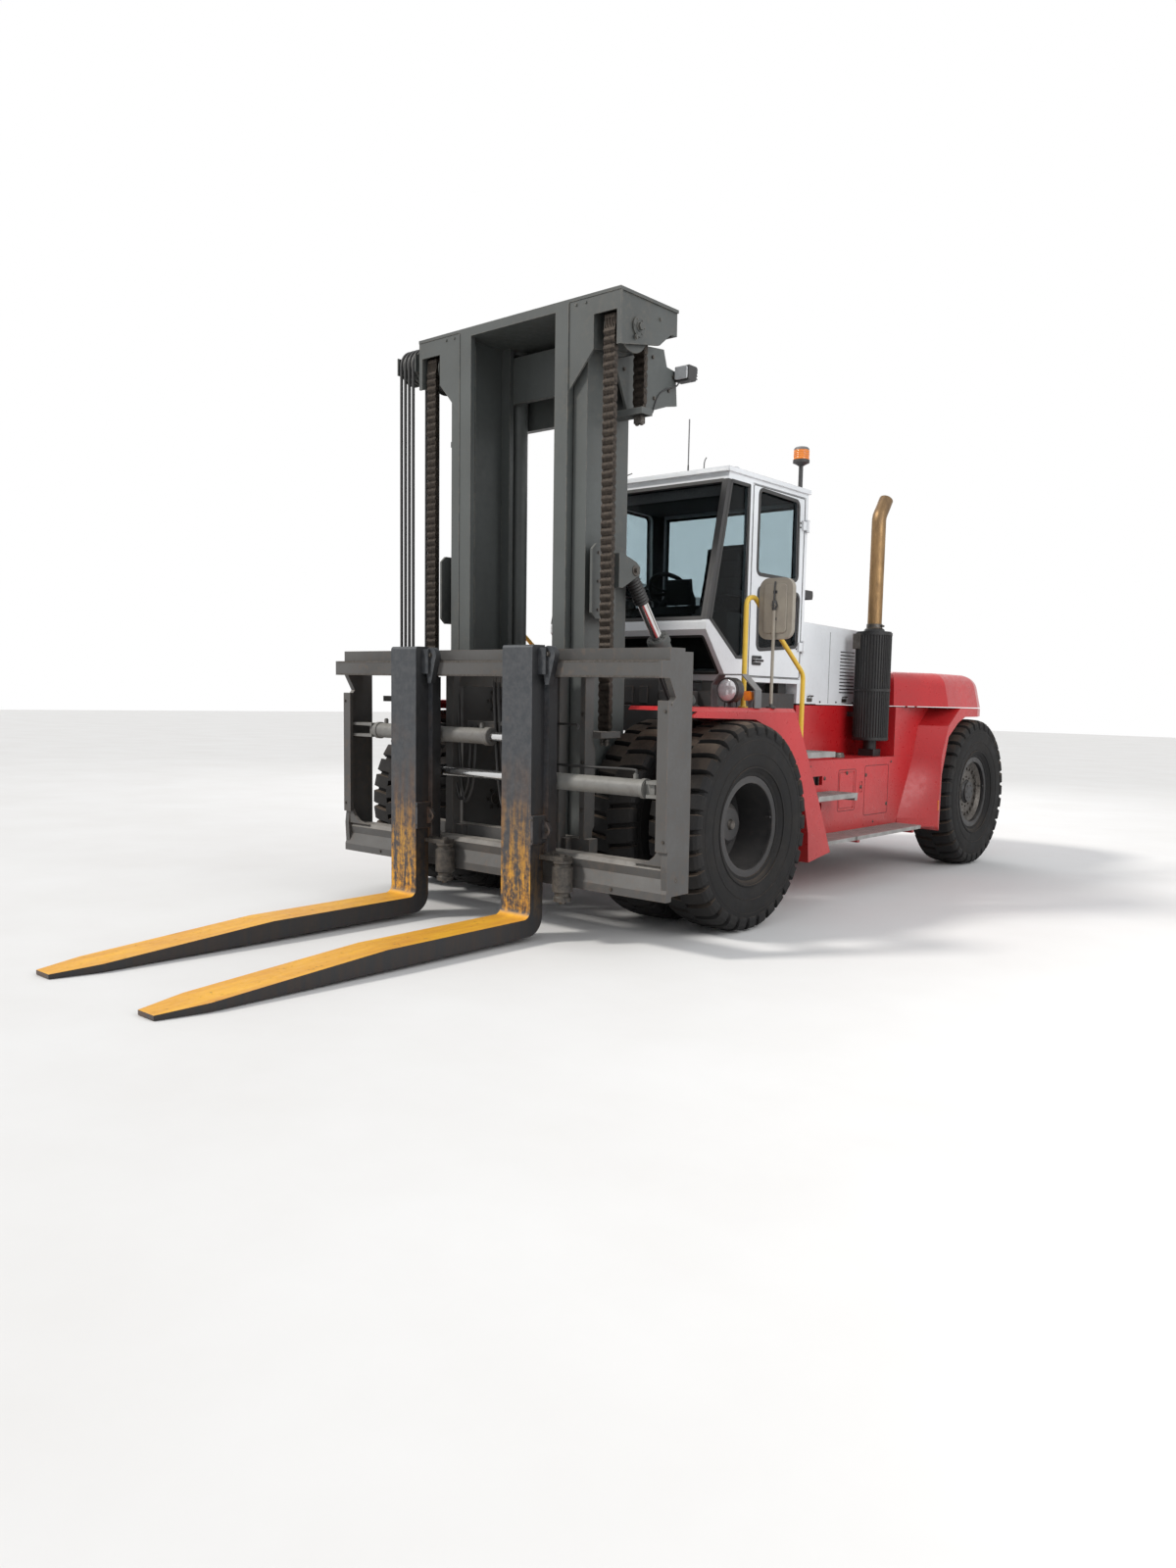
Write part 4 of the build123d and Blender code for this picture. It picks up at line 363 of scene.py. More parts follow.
# Columns: key, name, colour, darker colour, worn colour, roughness, dust colour, dust, rust, dirt low down,
# edge wear, painted shade in the mast's hollow
for key, *look_of in (
    ("red", "red_paint", (0.5, 0.014, 0.018), (0.4, 0.013, 0.017), (0.11, 0.035, 0.022), 0.3,
        (0.5, 0.1, 0.09), 0.14, 0.12, (0.3, 0.9, 0.25, (0.24, 0.085, 0.065))),
    ("white", "white_paint", (0.74, 0.76, 0.78), (0.63, 0.65, 0.67), (0.25, 0.2, 0.16), 0.33,
        (0.62, 0.6, 0.57), 0.3, 0.1),
    ("roof", "roof_paint", (0.6, 0.62, 0.64), (0.52, 0.54, 0.56), (0.25, 0.2, 0.16), 0.45, (0.55, 0.54, 0.51),
        0.4, 0.12),
    # Mast paint: its last column paints shade inside the mast's hollow
    ("mast", "mast_paint", (0.074, 0.082, 0.08), (0.05, 0.054, 0.052), (0.17, 0.15, 0.125), 0.48,
        (0.22, 0.21, 0.19), 0.55, 0.3, None, 0.75, (0.47, -0.672, -0.333)),
    ("grey", "frame_grey", (0.082, 0.08, 0.078), (0.05, 0.048, 0.046), (0.15, 0.105, 0.075), 0.52,
        (0.4, 0.37, 0.33), 0.85, 0.45, None, 0.7),
    ("barrel", "dusty_barrel", (0.19, 0.19, 0.18), (0.12, 0.115, 0.11), (0.06, 0.045, 0.035), 0.5,
        (0.36, 0.34, 0.3), 0.6, 0.6, None, 0.5),
    ("frame", "frame_paint", (0.03, 0.03, 0.032), (0.045, 0.042, 0.04), (0.11, 0.07, 0.05), 0.6,
        (0.18, 0.16, 0.14), 0.5, 0.4),
    ("black", "black_paint", (0.02, 0.02, 0.022), (0.032, 0.031, 0.031), (0.1, 0.08, 0.07), 0.46,
        (0.15, 0.14, 0.13), 0.4, 0.3),
    ("guard", "guard_paint", (0.17, 0.17, 0.175), (0.1, 0.1, 0.105), (0.16, 0.12, 0.09), 0.5,
        (0.45, 0.43, 0.4), 0.4, 0.35),
    ("yellow", "yellow_paint", (0.72, 0.47, 0.035), (0.62, 0.4, 0.05), (0.2, 0.12, 0.06), 0.42,
        (0.55, 0.45, 0.25), 0.3, 0.25),
):
    M[key] = paint(*look_of)
# Columns: key, name, colour, second colour, noise scale, roughness, metallic, bump, spread, stretch
for key, *look_of in (
    ("beige", "mirror_shell", (0.3, 0.27, 0.22), (0.24, 0.215, 0.18), 12, 0.5),
    ("mirror", "mirror_face", (0.62, 0.64, 0.66), (0.55, 0.57, 0.6), 6, 0.08, 0.9, 0.02, 0.04),
    ("chrome", "chrome_rod", (0.62, 0.62, 0.62), (0.5, 0.5, 0.5), 30, 0.14, 1.0, 0.02, 0.06, (1, 8, 8)),
    ("steel", "step_steel", (0.38, 0.38, 0.37), (0.25, 0.24, 0.23), 9, 0.5, 0.6, 0.2),
    ("nut", "nut_steel", (0.13, 0.12, 0.11), (0.075, 0.066, 0.058), 50, 0.42, 0.8, 0.15),
    ("chain", "chain_steel", (0.026, 0.022, 0.02), (0.075, 0.06, 0.048), 60, 0.42, 0.8, 0.2),
    ("seam", "seam_shadow", (0.1, 0.008, 0.01), (0.07, 0.006, 0.008), 30, 0.6),
    ("hose", "hose_rubber", (0.016, 0.016, 0.017), (0.03, 0.029, 0.028), 40, 0.5),
    ("plastic", "cab_plastic", (0.022, 0.022, 0.024), (0.04, 0.039, 0.038), 25, 0.55, 0.0, 0.15),
    ("lining", "cab_lining", (0.05, 0.05, 0.054), (0.085, 0.084, 0.086), 60, 0.85, 0.0, 0.3),
    ("amber", "amber_lens", (0.8, 0.24, 0.02), (0.66, 0.17, 0.02), 30, 0.2, 0.0, 0.05),
    ("tail", "tail_lens", (0.55, 0.02, 0.02), (0.42, 0.015, 0.015), 30, 0.2, 0.0, 0.05),
    ("fabric", "seat_fabric", (0.03, 0.03, 0.033), (0.055, 0.054, 0.056), 300, 0.9, 0.0, 0.4),
    ("lens", "lamp_lens", (0.8, 0.81, 0.83), (0.62, 0.63, 0.65), 45, 0.1, 0.35, 0.2),
):
    M[key] = simple(*look_of)
M["tyre"] = tyre_material()
M["fork"] = fork_material()
M["stack"] = muffler_material()
M["glass"] = glass_material()

# Slots of the record with the finishes that belong to them
NODE_FINISHES = {
    "frame": "frame",
    "black": "front_axle engine rear_axle front_rims_left front_rims_right knuckle_left knuckle_right "
             "rear_rim_left rear_rim_right steer_link_left steer_link_right",
    "red": "front_fenders side_boxes rear_body rear_hood",
    "white": "cab_shell engine_hood door_left door_right",
    "glass": "cab_glass door_left_glass door_right_glass",
    "plastic": "cab_fittings",
    "fabric": "seat_cushions",
    "stack": "muffler",
    "yellow": "handrails",
    "beige": "mirrors",
    "guard": "lamps",
    "tyre": "front_tyres_left front_tyres_right rear_tyre_left rear_tyre_right",
    "chrome": "steer_rod lift_rods tilt_rod_left tilt_rod_right",
    "mast": "outer_mast mast_brackets lift_barrels inner_mast tilt_barrel_left tilt_barrel_right",
    "steel": "steps",
    "chain": "mast_chains",
    "hose": "mast_hoses",
    "grey": "carriage shift_frame",
    "barrel": "fork_cylinders",
    "fork": "fork_left fork_right",
}
for mat, nodes in NODE_FINISHES.items():
    for node in nodes.split():
        data = NODES[node].data
        data.materials.clear()
        data.materials.append(M[mat])


# Mesh helpers
def placed(axis, along, a, b):
    """Point from its distance along an axis and its two other coordinates"""
    point = [a, b]
    point.insert("xyz".index(axis), along)
    return point


def circle(radius, count):
    """Points round a circle"""
    angles = [2 * pi * k / count for k in range(count)]
    return [(radius * cos(a), radius * sin(a)) for a in angles]


class Build:
    """Faces of one finish, made into one piece"""

    def __init__(self, place=PLAIN):
        self.verts = []
        self.faces = []
        self.place = place

    def add(self, points, faces):
        start = len(self.verts)
        for p in points:
            q = self.place @ Vector(p)
            self.verts.append((q.x * MM - OX, q.y * MM - OY, q.z * MM))
        self.faces += [[start + i for i in f] for f in faces]

    def box(self, x, y, z):
        points = [(a, b, c) for a in x for b in y for c in z]
        self.add(points, [(0, 1, 3, 2), (4, 6, 7, 5), (0, 4, 5, 1), (2, 3, 7, 6), (0, 2, 6, 4), (1, 5, 7, 3)])

    def skin(self, rings, ends=(), around=False, closed=True):
        """Faces between rings of as many points, and flat ends; around: the last ring meets the first"""
        n, count = len(rings[0]), len(rings)
        faces = list(ends)
        for k in range(count if around else count - 1):
            m = (k + 1) % count
            for i in range(n if closed else n - 1):
                j = (i + 1) % n
                faces.append((k * n + i, k * n + j, m * n + j, m * n + i))
        self.add([p for ring in rings for p in ring], faces)

    def prism(self, shape, axis, span):
        """Flat outline pushed along an axis: (Y, Z), (X, Z) or (X, Y) points"""
        n = len(shape)
        rings = [[placed(axis, s, a, b) for a, b in shape] for s in span]
        self.skin(rings, (range(n), range(2 * n - 1, n - 1, -1)))

    def ring(self, outer, inner, axis, span):
        """Band between two outlines with as many points"""
        points = [placed(axis, s, a, b) for s in span for shape in (outer, inner) for a, b in shape]
        n = len(outer)
        faces = []
        for i in range(n):
            j = (i + 1) % n
            faces += [(i, j, n + j, n + i), (2 * n + i, 2 * n + j, 3 * n + j, 3 * n + i),
                (i, j, 2 * n + j, 2 * n + i), (n + i, n + j, 3 * n + j, 3 * n + i)]
        self.add(points, faces)

    def turn(self, profile, axis, middle, steps=32, closed=False):
        """(Along, radius) points turned about an axis"""
        rings = []
        for c, s in circle(1, steps):
            local = [placed(axis, along, r * c, r * s) for along, r in profile]
            rings.append([[p[i] + middle[i] for i in range(3)] for p in local])
        n = len(profile)
        ends = () if closed else (range(0, n * steps, n), range(n - 1, n * steps, n))
        self.skin(rings, ends, True, closed)

    def rod(self, axis, middle, radius, span, steps=16):
        """Round bar with chamfered ends"""
        c = min(radius * 0.15, 3)
        a, b = span
        self.turn([(a, radius - c), (a + c, radius), (b - c, radius), (b, radius - c)], axis, middle, steps)

    def tube(self, path, radius, steps, ends=True):
        """Round section along points"""
        pts = [Vector(p) for p in path]
        up = None
        rows = []
        for i, p in enumerate(pts):
            d = (pts[min(i + 1, len(pts) - 1)] - pts[max(i - 1, 0)]).normalized()
            if up is None:
                up = d.orthogonal().normalized()
            up = (up - up.dot(d) * d).normalized()
            side = d.cross(up)
            rows.append([p + c * up + s * side for c, s in circle(radius, steps)])
        last = (len(rows) - 1) * steps
        self.skin(rows, (range(steps), range(last, last + steps)) if ends else ())

    def curve(self, points, radius, sides=8, steps=6):
        """Tube along a smooth curve through the points"""
        self.tube(smooth_path(points, steps), radius, sides)

    def band(self, profile, axis, middle, steps=32):
        """Closed (along, radius) outline turned about an axis"""
        self.turn(profile, axis, middle, steps, True)

    def bolt(self, p, axis, size=10, flip=1):
        """Hexagon head on a washer"""
        for shape, low, high in ((circle(1.35 * size, 12), -0.6, 0.2 * size),
                                 (circle(size, 6), 0.15 * size, 0.85 * size)):
            corners = [placed(axis, h * flip, u, v) for h in (low, high) for u, v in shape]
            points = [[p[j] + q[j] for j in range(3)] for q in corners]
            n = len(shape)
            faces = [range(n, 2 * n)] + [(k, (k + 1) % n, n + (k + 1) % n, n + k) for k in range(n)]
            self.add(points, faces)

    def bolts(self, axis, middle, radius, count, size=10, flip=1):
        """Ring of bolts about an axis"""
        for u, v in circle(radius, count):
            q = placed(axis, 0, u, v)
            self.bolt([middle[j] + q[j] for j in range(3)], axis, size, flip)

    def both(self):
        """Same faces again on the truck's other side"""
        count = len(self.verts)
        self.verts += [(-(x + OX) - OX, y, z) for x, y, z in self.verts]
        self.faces += [[count + i for i in reversed(f)] for f in list(self.faces)]
        return self

    def pair(self, *args, **values):
        """Piece made with its mirror image"""
        self.both().piece(*args, **values)

    def mesh(self, name, bevel, segments=1, least=40):
        """Mesh of what is built, with edges sharper than the least angle bevelled"""
        mesh = bpy.data.meshes.new(name)
        mesh.from_pydata(self.verts, [], self.faces)
        bm = bmesh.new()
        bm.from_mesh(mesh)
        bmesh.ops.recalc_face_normals(bm, faces=bm.faces)
        if bevel:
            least = radians(least)
            sharp = [e for e in bm.edges if len(e.link_faces) == 2 and e.calc_face_angle(0) > least]
            bmesh.ops.bevel(bm, geom=sharp, offset=bevel * MM, segments=segments, affect="EDGES",
                            clamp_overlap=True)
        bm.to_mesh(mesh)
        bm.free()
        return mesh

    def piece(self, name, mat, body="chassis", bevel=0.0, replaces=(), smooth=35, keep=False):
        """Scene object of what is built, riding on a body; the builder is empty again unless it keeps"""
        mesh = self.mesh(name, bevel)
        if not keep:
            self.verts, self.faces = [], []
        mesh.shade_smooth()
        mesh.set_sharp_from_angle(angle=radians(smooth))
        mesh.materials.append(M[mat])
        obj = add_object(name, mesh)
        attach(obj, body)
        if replaces:
            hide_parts(*replaces)


def rect(x0, x1, y0, y1, radius=0, steps=4):
    """Rectangle, with round corners where a radius is given"""
    points = [(x0, y0), (x1, y0), (x1, y1), (x0, y1)]
    return rounded(points, radius, steps) if radius else points


def rounded(points, radius, steps=4):
    """Outline with round corners: one radius for all, or a list of them"""
    n = len(points)
    out = []
    for i, p in enumerate(points):
        r = radius[i] if isinstance(radius, (list, tuple)) else radius
        p = Vector(p)
        a = (Vector(points[i - 1]) - p).normalized()
        b = (Vector(points[(i + 1) % n]) - p).normalized()
        half = a.angle(b) / 2
        back = r / tan(half)
        start, end = p + a * back, p + b * back
        middle = p + (a + b).normalized() * (r / sin(half))
        u, v = start - middle, end - middle
        sweep = atan2(u.x * v.y - u.y * v.x, u.dot(v))
        for k in range(steps + 1):
            c, d = cos(sweep * k / steps), sin(sweep * k / steps)
            out.append((middle.x + u.x * c - u.y * d, middle.y + u.x * d + u.y * c))
    return out


def grown(points, by):
    """Outline moved outward by a distance, with as many points"""
    n = len(points)
    area = sum(points[i - 1][0] * points[i][1] - points[i][0] * points[i - 1][1] for i in range(n))
    sign = 1 if area > 0 else -1
    out = []
    for i in range(n):
        p = Vector(points[i])
        a = (p - Vector(points[i - 1])).normalized()
        b = (Vector(points[(i + 1) % n]) - p).normalized()
        na, nb = Vector((a.y, -a.x)), Vector((b.y, -b.x))
        m = na + nb
        m = m / max(m.dot(na), 0.3) if m.length > 0.01 else na
        out.append(tuple(p + m * by * sign))
    return out


def smooth_path(points, steps):
    """Curve through the points"""
    pts = [Vector(p) for p in points]
    pts = [pts[0] * 2 - pts[1]] + pts + [pts[-1] * 2 - pts[-2]]
    out = []
    for i in range(1, len(pts) - 2):
        p0, p1, p2, p3 = pts[i - 1:i + 3]
        for k in range(steps):
            t = k / steps
            out.append(0.5 * (2 * p1 + (p2 - p0) * t + (2 * p0 - 5 * p1 + 4 * p2 - p3) * t * t
                + (3 * p1 - p0 - 3 * p2 + p3) * t ** 3))
    return out + [pts[-2]]


# Wheels
LUGS, NUTS, NUT_CIRCLE = 33, 20, 205
# Columns: distance from the tyre's middle along the axle, radius
TREAD = [(-6, 684), (70, 684), (132, 679), (166, 668), (183, 646), (187, 614), (183, 592)]
SIDEWALL = [(60, 644), (150, 638), (174, 618), (184, 575), (186, 510), (181, 430), (168, 372), (150, 352),
    (146, 332)]
CARCASS = [(-a, r) for a, r in reversed(SIDEWALL)] + SIDEWALL


def tyre_lug(b, centre, angle, side):
    """One shoulder lug: a bar that tapers a little towards its top and runs down the shoulder"""
    rows = []
    for i, (x, r) in enumerate(TREAD):
        lean = -0.02 * (x - 80) / 100
        for depth, half in ((0, 0.066), (34, 0.08)):
            low = r - depth * (1.0 if i < 4 else 0.35)
            inward = x - (depth * 0.7 if i >= 4 else 0)
            for a in (angle + lean - half, angle + lean + half):
                rows.append((centre[0] + side * inward, centre[1] + low * cos(a), centre[2] + low * sin(a)))
    n = len(TREAD)
    faces = []
    for i in range(n - 1):
        k, m = 4 * i, 4 * i + 4
        faces += [(k, k + 1, m + 1, m), (k, m, m + 2, k + 2), (k + 1, k + 3, m + 3, m + 1)]
    faces += [(0, 2, 3, 1), (4 * n - 4, 4 * n - 3, 4 * n - 1, 4 * n - 2)]
    b.add(rows, faces)


def tyre(b, x, y):
    """Carcass and lugs, with the beads, rings and raised rib on each sidewall"""
    centre = (x, y, TYRE)
    b.band(CARCASS, "x", centre, 66)
    for side in (-1, 1):
        for low, high, face in ((378, 392, 176), (470, 476, 184.6), (560, 566, 184.4)):
            foot, top = side * (face - 4), side * (face + 1.6)
            b.band([(foot, low), (top, low + 2), (top, high - 2), (foot, high)], "x", centre, 66)
    for k in range(LUGS):
        tyre_lug(b, centre, 2 * pi * k / LUGS, 1)
        tyre_lug(b, centre, 2 * pi * (k + 0.5) / LUGS, -1)


def studs(b, x, y, reach):
    """Ring of wheel nuts on their studs"""
    b.bolts("x", (x, y, TYRE), NUT_CIRCLE, NUTS, 17)
    for u, v in circle(NUT_CIRCLE, NUTS):
        b.rod("x", (0, y + u, TYRE + v), 9, (x + 8, x + reach), 8)


def lock_ring(b, x, y, valve):
    """Lock ring round a rim, and the valve's stem"""
    b.band([(x, 306), (x + 12, 300), (x + 12, 284), (x - 8, 284)], "x", (0, y, TYRE), 64)
    b.curve([(p, q, TYRE + up) for (p, q), up in zip(valve, (40, 44, 46))], 6)


def wheel_parts():
    """Tyres, wheel nuts and lock rings"""
    for name, side, flip in SIDES:
        b = Build()
        for x in (843, 1338):
            tyre(b, side * x, 0)
        b.piece("drive_tyres_" + name, "tyre", "front_wheel_" + name, 2.0, ["front_tyres_" + name], 30)
        tyre(b, side * 1125, STEER_Y)
        b.piece("steer_tyre_" + name, "tyre", "rear_wheel_" + name, 2.0, ["rear_tyre_" + name], 30)
        front, rear = (0, 0, TYRE), (0, STEER_Y, TYRE)
        b.place = flip
        studs(b, 1102.5, 0, 34)
        b.band([(1136.5, 186), (1148.5, 186), (1148.5, 150), (1136.5, 150)], "x", front, 36)
        b.bolts("x", (1148.5, 0, TYRE), 170, 24, 9)
        b.bolts("x", (1304.5, 0, TYRE), 122, 12, 10)
        b.turn([(1339.5, 0.5), (1352.5, 30), (1339.5, 38)], "x", front, 18)
        b.piece("drive_wheel_bolts_" + name, "nut", "front_wheel_" + name)
        for k in range(6):
            a = pi / 3 * k + 0.3
            b.bolt((1462, 294 * cos(a), TYRE + 294 * sin(a)), "x", 11)
        lock_ring(b, 1466, 0, ((1440, 262), (1472, 262), (1486, 250)))
        b.piece("lock_ring_" + name, "black", "front_wheel_" + name)
        studs(b, 1109, STEER_Y, 36)
        # Dished centre near the rim's outer face
        b.band([(1205, 112), (1205, 250), (1235, 282), (1229, 290), (1187, 256), (1191, 246), (1191, 112)],
            "x", rear, 48)
        for x, radius, count, size in ((1205, 215, 20, 15), (1205, 138, 12, 9), (1236, 62, 6, 8)):
            b.bolts("x", (x, STEER_Y, TYRE), radius, count, size)
        b.piece("steer_wheel_bolts_" + name, "nut", "rear_wheel_" + name)
        lock_ring(b, 1253, STEER_Y, ((1222, 4500), (1256, 4500), (1272, 4490)))
        b.piece("steer_lock_ring_" + name, "black", "rear_wheel_" + name)


def mast_parts():
    """Leaf chains with their pins, sheaves and anchors"""
    middle, y, top = SHEAVE
    radius, pitch = 150, 50.8
    path = [(y - radius, 1268 + k * pitch) for k in range(int((top - 1268) / pitch) + 1)]
    steps = round(pi * radius / pitch)
    for k in range(1, steps):
        a = pi - pi * k / steps
        path.append((y + radius * cos(a), top + radius * sin(a)))
    path = [Vector(p) for p in path + [(y + radius, top - k * pitch) for k in range(10)]]
    b, pins = Build(LEAN), Build(LEAN)
    for i, (start, end) in enumerate(zip(path, path[1:])):
        d = (end - start).normalized()
        n, e = Vector((-d.y, d.x)) * 20, d * 21
        half = ((start - e, 0.6), (start - e * 0.2, 1), ((start + end) / 2, 0.72), (end + e * 0.2, 1),
            (end + e, 0.6))
        shape = [p + n * w for p, w in half] + [p - n * w for p, w in reversed(half)]
        for lane in range(-44, 44, 12) if i % 2 else range(-38, 38, 12):
            b.prism(shape, "x", (middle + lane + 0.7, middle + lane + 5.3))
        pins.rod("x", (0, *start), 9, (middle - 48, middle + 48), 8)
    b.pair("leaf_chains", "chain", "inner_mast", 0, ["mast_chains"], 30)
    pins.pair("chain_pins", "chain", "inner_mast")
    b.place = LEAN
    b.band([(-58, 20), (-58, 148), (-50, 150), (-48, 125), (48, 125), (50, 150), (58, 148), (58, 20)], "x",
        SHEAVE, 40)
    b.rod("x", (0, y, top), 45, (707, 890), 24)
    b.rod("x", (0, y, top), 30, (911, 922.5), 24)
    b.bolts("x", (922, y, top), 47, 6, 7)
    b.bolts("x", (706, y, top), 75, 6, 9, -1)
    b.pair("chain_sheaves", "mast", "inner_mast", 1.5)
    for name, body, y, low, high in (("front", "carriage", -675, 1215, 1300),
            ("rear", "outer_mast", -375, 3262, 3312)):
        b = Build(LEAN)
        b.box((785, 845), (y - 22, y + 22), (high - 60, high - 8))
        for x in (797, 833):
            b.rod("z", (x, y, 0), 11, (low - 20, high - 50), 12)
            for z in (low, low + 18):
                b.bolt((x, y, z), "z", 17, -1)
        b.pair("chain_anchors_" + name, "nut", body, 1.0)


def mast_hoses():
    """Four hoses over the sheave at the crosshead's right end, with its grooved rims"""
    b, clamps, rims = Build(LEAN), Build(LEAN), Build(LEAN)
    y, top, radius = -581, 3860, 119.5
    for n in range(4):
        x = -1000 - 43 * n
        path = [(x, y - radius, z) for z in range(1480, 3861, 170)]
        for k in range(15):
            a = pi - pi * k / 14
            path.append((x, y + radius * cos(a), top + radius * sin(a)))
        path += [(x, y + radius, z) for z in (3690, 3500, 3200, 2900, 2600, 2300, 2000, 1700)]
        b.tube(path, 11, 12)
        for z in (1478, 1530):
            clamps.rod("z", (x, y - radius, 0), 14, (z, z + 40), 12)
        clamps.rod("z", (x, y + radius, 0), 14, (1700, 1760), 12)
        groove = ((20, 100), (20, 117), (15, 119), (12, 109.5))
        shape = [(x - a, r) for a, r in groove] + [(x + a, r) for a, r in reversed(groove)]
        rims.band(shape, "x", (0, y, top), 36)
    b.piece("mast_hoses_round", "hose", "inner_mast", 0, ["mast_hoses"])
    clamps.piece("hose_ferrules", "nut", "inner_mast")
    rims.rod("x", (0, y, top), 34, (-1172, -1164.5), 18)
    rims.bolt((-1172, y, top), "x", 16, -1)
    rims.piece("hose_sheave_rims", "mast", "inner_mast")


def lift_cylinders():
    """Glands, feet and pipes of the lift cylinders, and the caps over their rods"""
    b = Build(LEAN)
    b.band([(3702, 66), (3702, 76), (3766, 76), (3772, 72), (3772, 46.5), (3764, 45.5), (3764, 60)], "z",
        LIFT)
    b.rod("z", LIFT, 76, (1031, 1078), 32)
    b.curve([(440, -118, 1060), (440, -90, 1062), (425, -60, 1100), (400, -52, 1200), (330, -52, 1260)], 12,
        10)
    b.pair("lift_glands", "mast", "outer_mast", 1.5)
    b.band(rect(3920, 3940.5, 70, 40), "z", LIFT, 28)
    # Marks on the crosshead's top, too small to be seen; they also keep the caps' edges sharp
    for y in (-660, -560, -240, -160):
        b.bolt((560, y, 4000), "z", 0.1)
    b.pair("rod_caps", "mast", "inner_mast", 1.0)


def crosshead():
    """Bolts of the crosshead and bright strips on the channels"""
    b = Build(LEAN)
    for x in (560, 640):
        b.bolt((x, -711, 3955), "y", 8, -1)
    for x, y, z, size in ((923, -525, 3800, 24), (923, -560, 3730, 11), (911, -300, 3900, 11)):
        b.bolt((x, y, z), "x", size)
    b.box((496, 503), (-719, -714), (700, 3975))
    b.pair("crosshead_bolts", "mast", "inner_mast")
    for low, high in ((620, 1900), (2000, 3880)):
        b.box((391, 394), (-670, -662), (low, high))
    b.pair("channel_strips", "mast", "inner_mast")


def tilt_cylinders():
    """Glands, pipes and boots of the tilt cylinders, built along Y from the foot pin"""
    line = LEAN @ TILT_PIN - TILT_FOOT
    turn = Vector((0, 1, 0)).rotation_difference(line.normalized()).to_matrix().to_4x4()
    middle = (0, 0, 0)
    for name, _, flip in SIDES:
        place = flip @ Matrix.Translation(TILT_FOOT) @ turn
        b = Build(place)
        b.band([(596, 69), (596, 80), (642, 80), (648, 74), (648, 40), (640, 39), (640, 60)], "y", middle)
        b.turn([(76, 66), (76, 78), (104, 78), (108, 69)], "y", middle)
        for y in (140, 560):
            b.box((-18, 18), (y - 16, y + 16), (60, 84))
            b.rod("z", (0, y, 0), 11, (80, 104), 12)
        b.bolts("y", (0, 647, 0), 60, 8, 8)
        b.piece("tilt_gland_" + name, "mast", "tilt_barrel_" + name, 1.0)
        pipe = ((140, 100), (150, 128), (220, 140), (400, 128), (520, 124), (558, 116), (560, 100))
        b.curve([(0, y, z) for y, z in pipe], 10, 10)
        b.piece("tilt_pipe_" + name, "hose", "tilt_barrel_" + name)
        # Dark wiper boot beside the mast's pin
        start = line.length - 250
        rings = [(start - 2, 39)]
        for k in range(9):
            rings += [(start + 22 * k, 44), (start + 22 * k + 11, 52)]
        b.band(rings + [(start + 200, 42), (start + 200, 39)], "y", middle, 24)
        b.piece("tilt_boot_" + name, "hose", "tilt_rod_" + name)
    b = Build(LEAN)
    y, z = TILT_PIN.yz
    for x, flip in ((637, -1), (756, 1)):
        b.rod("x", (0, y, z), 34, (x - 7, x + 7), 20)
        b.bolt((x + 8 * flip, y, z), "x", 15, flip)
    b.pair("tilt_pin_caps", "nut", "outer_mast")


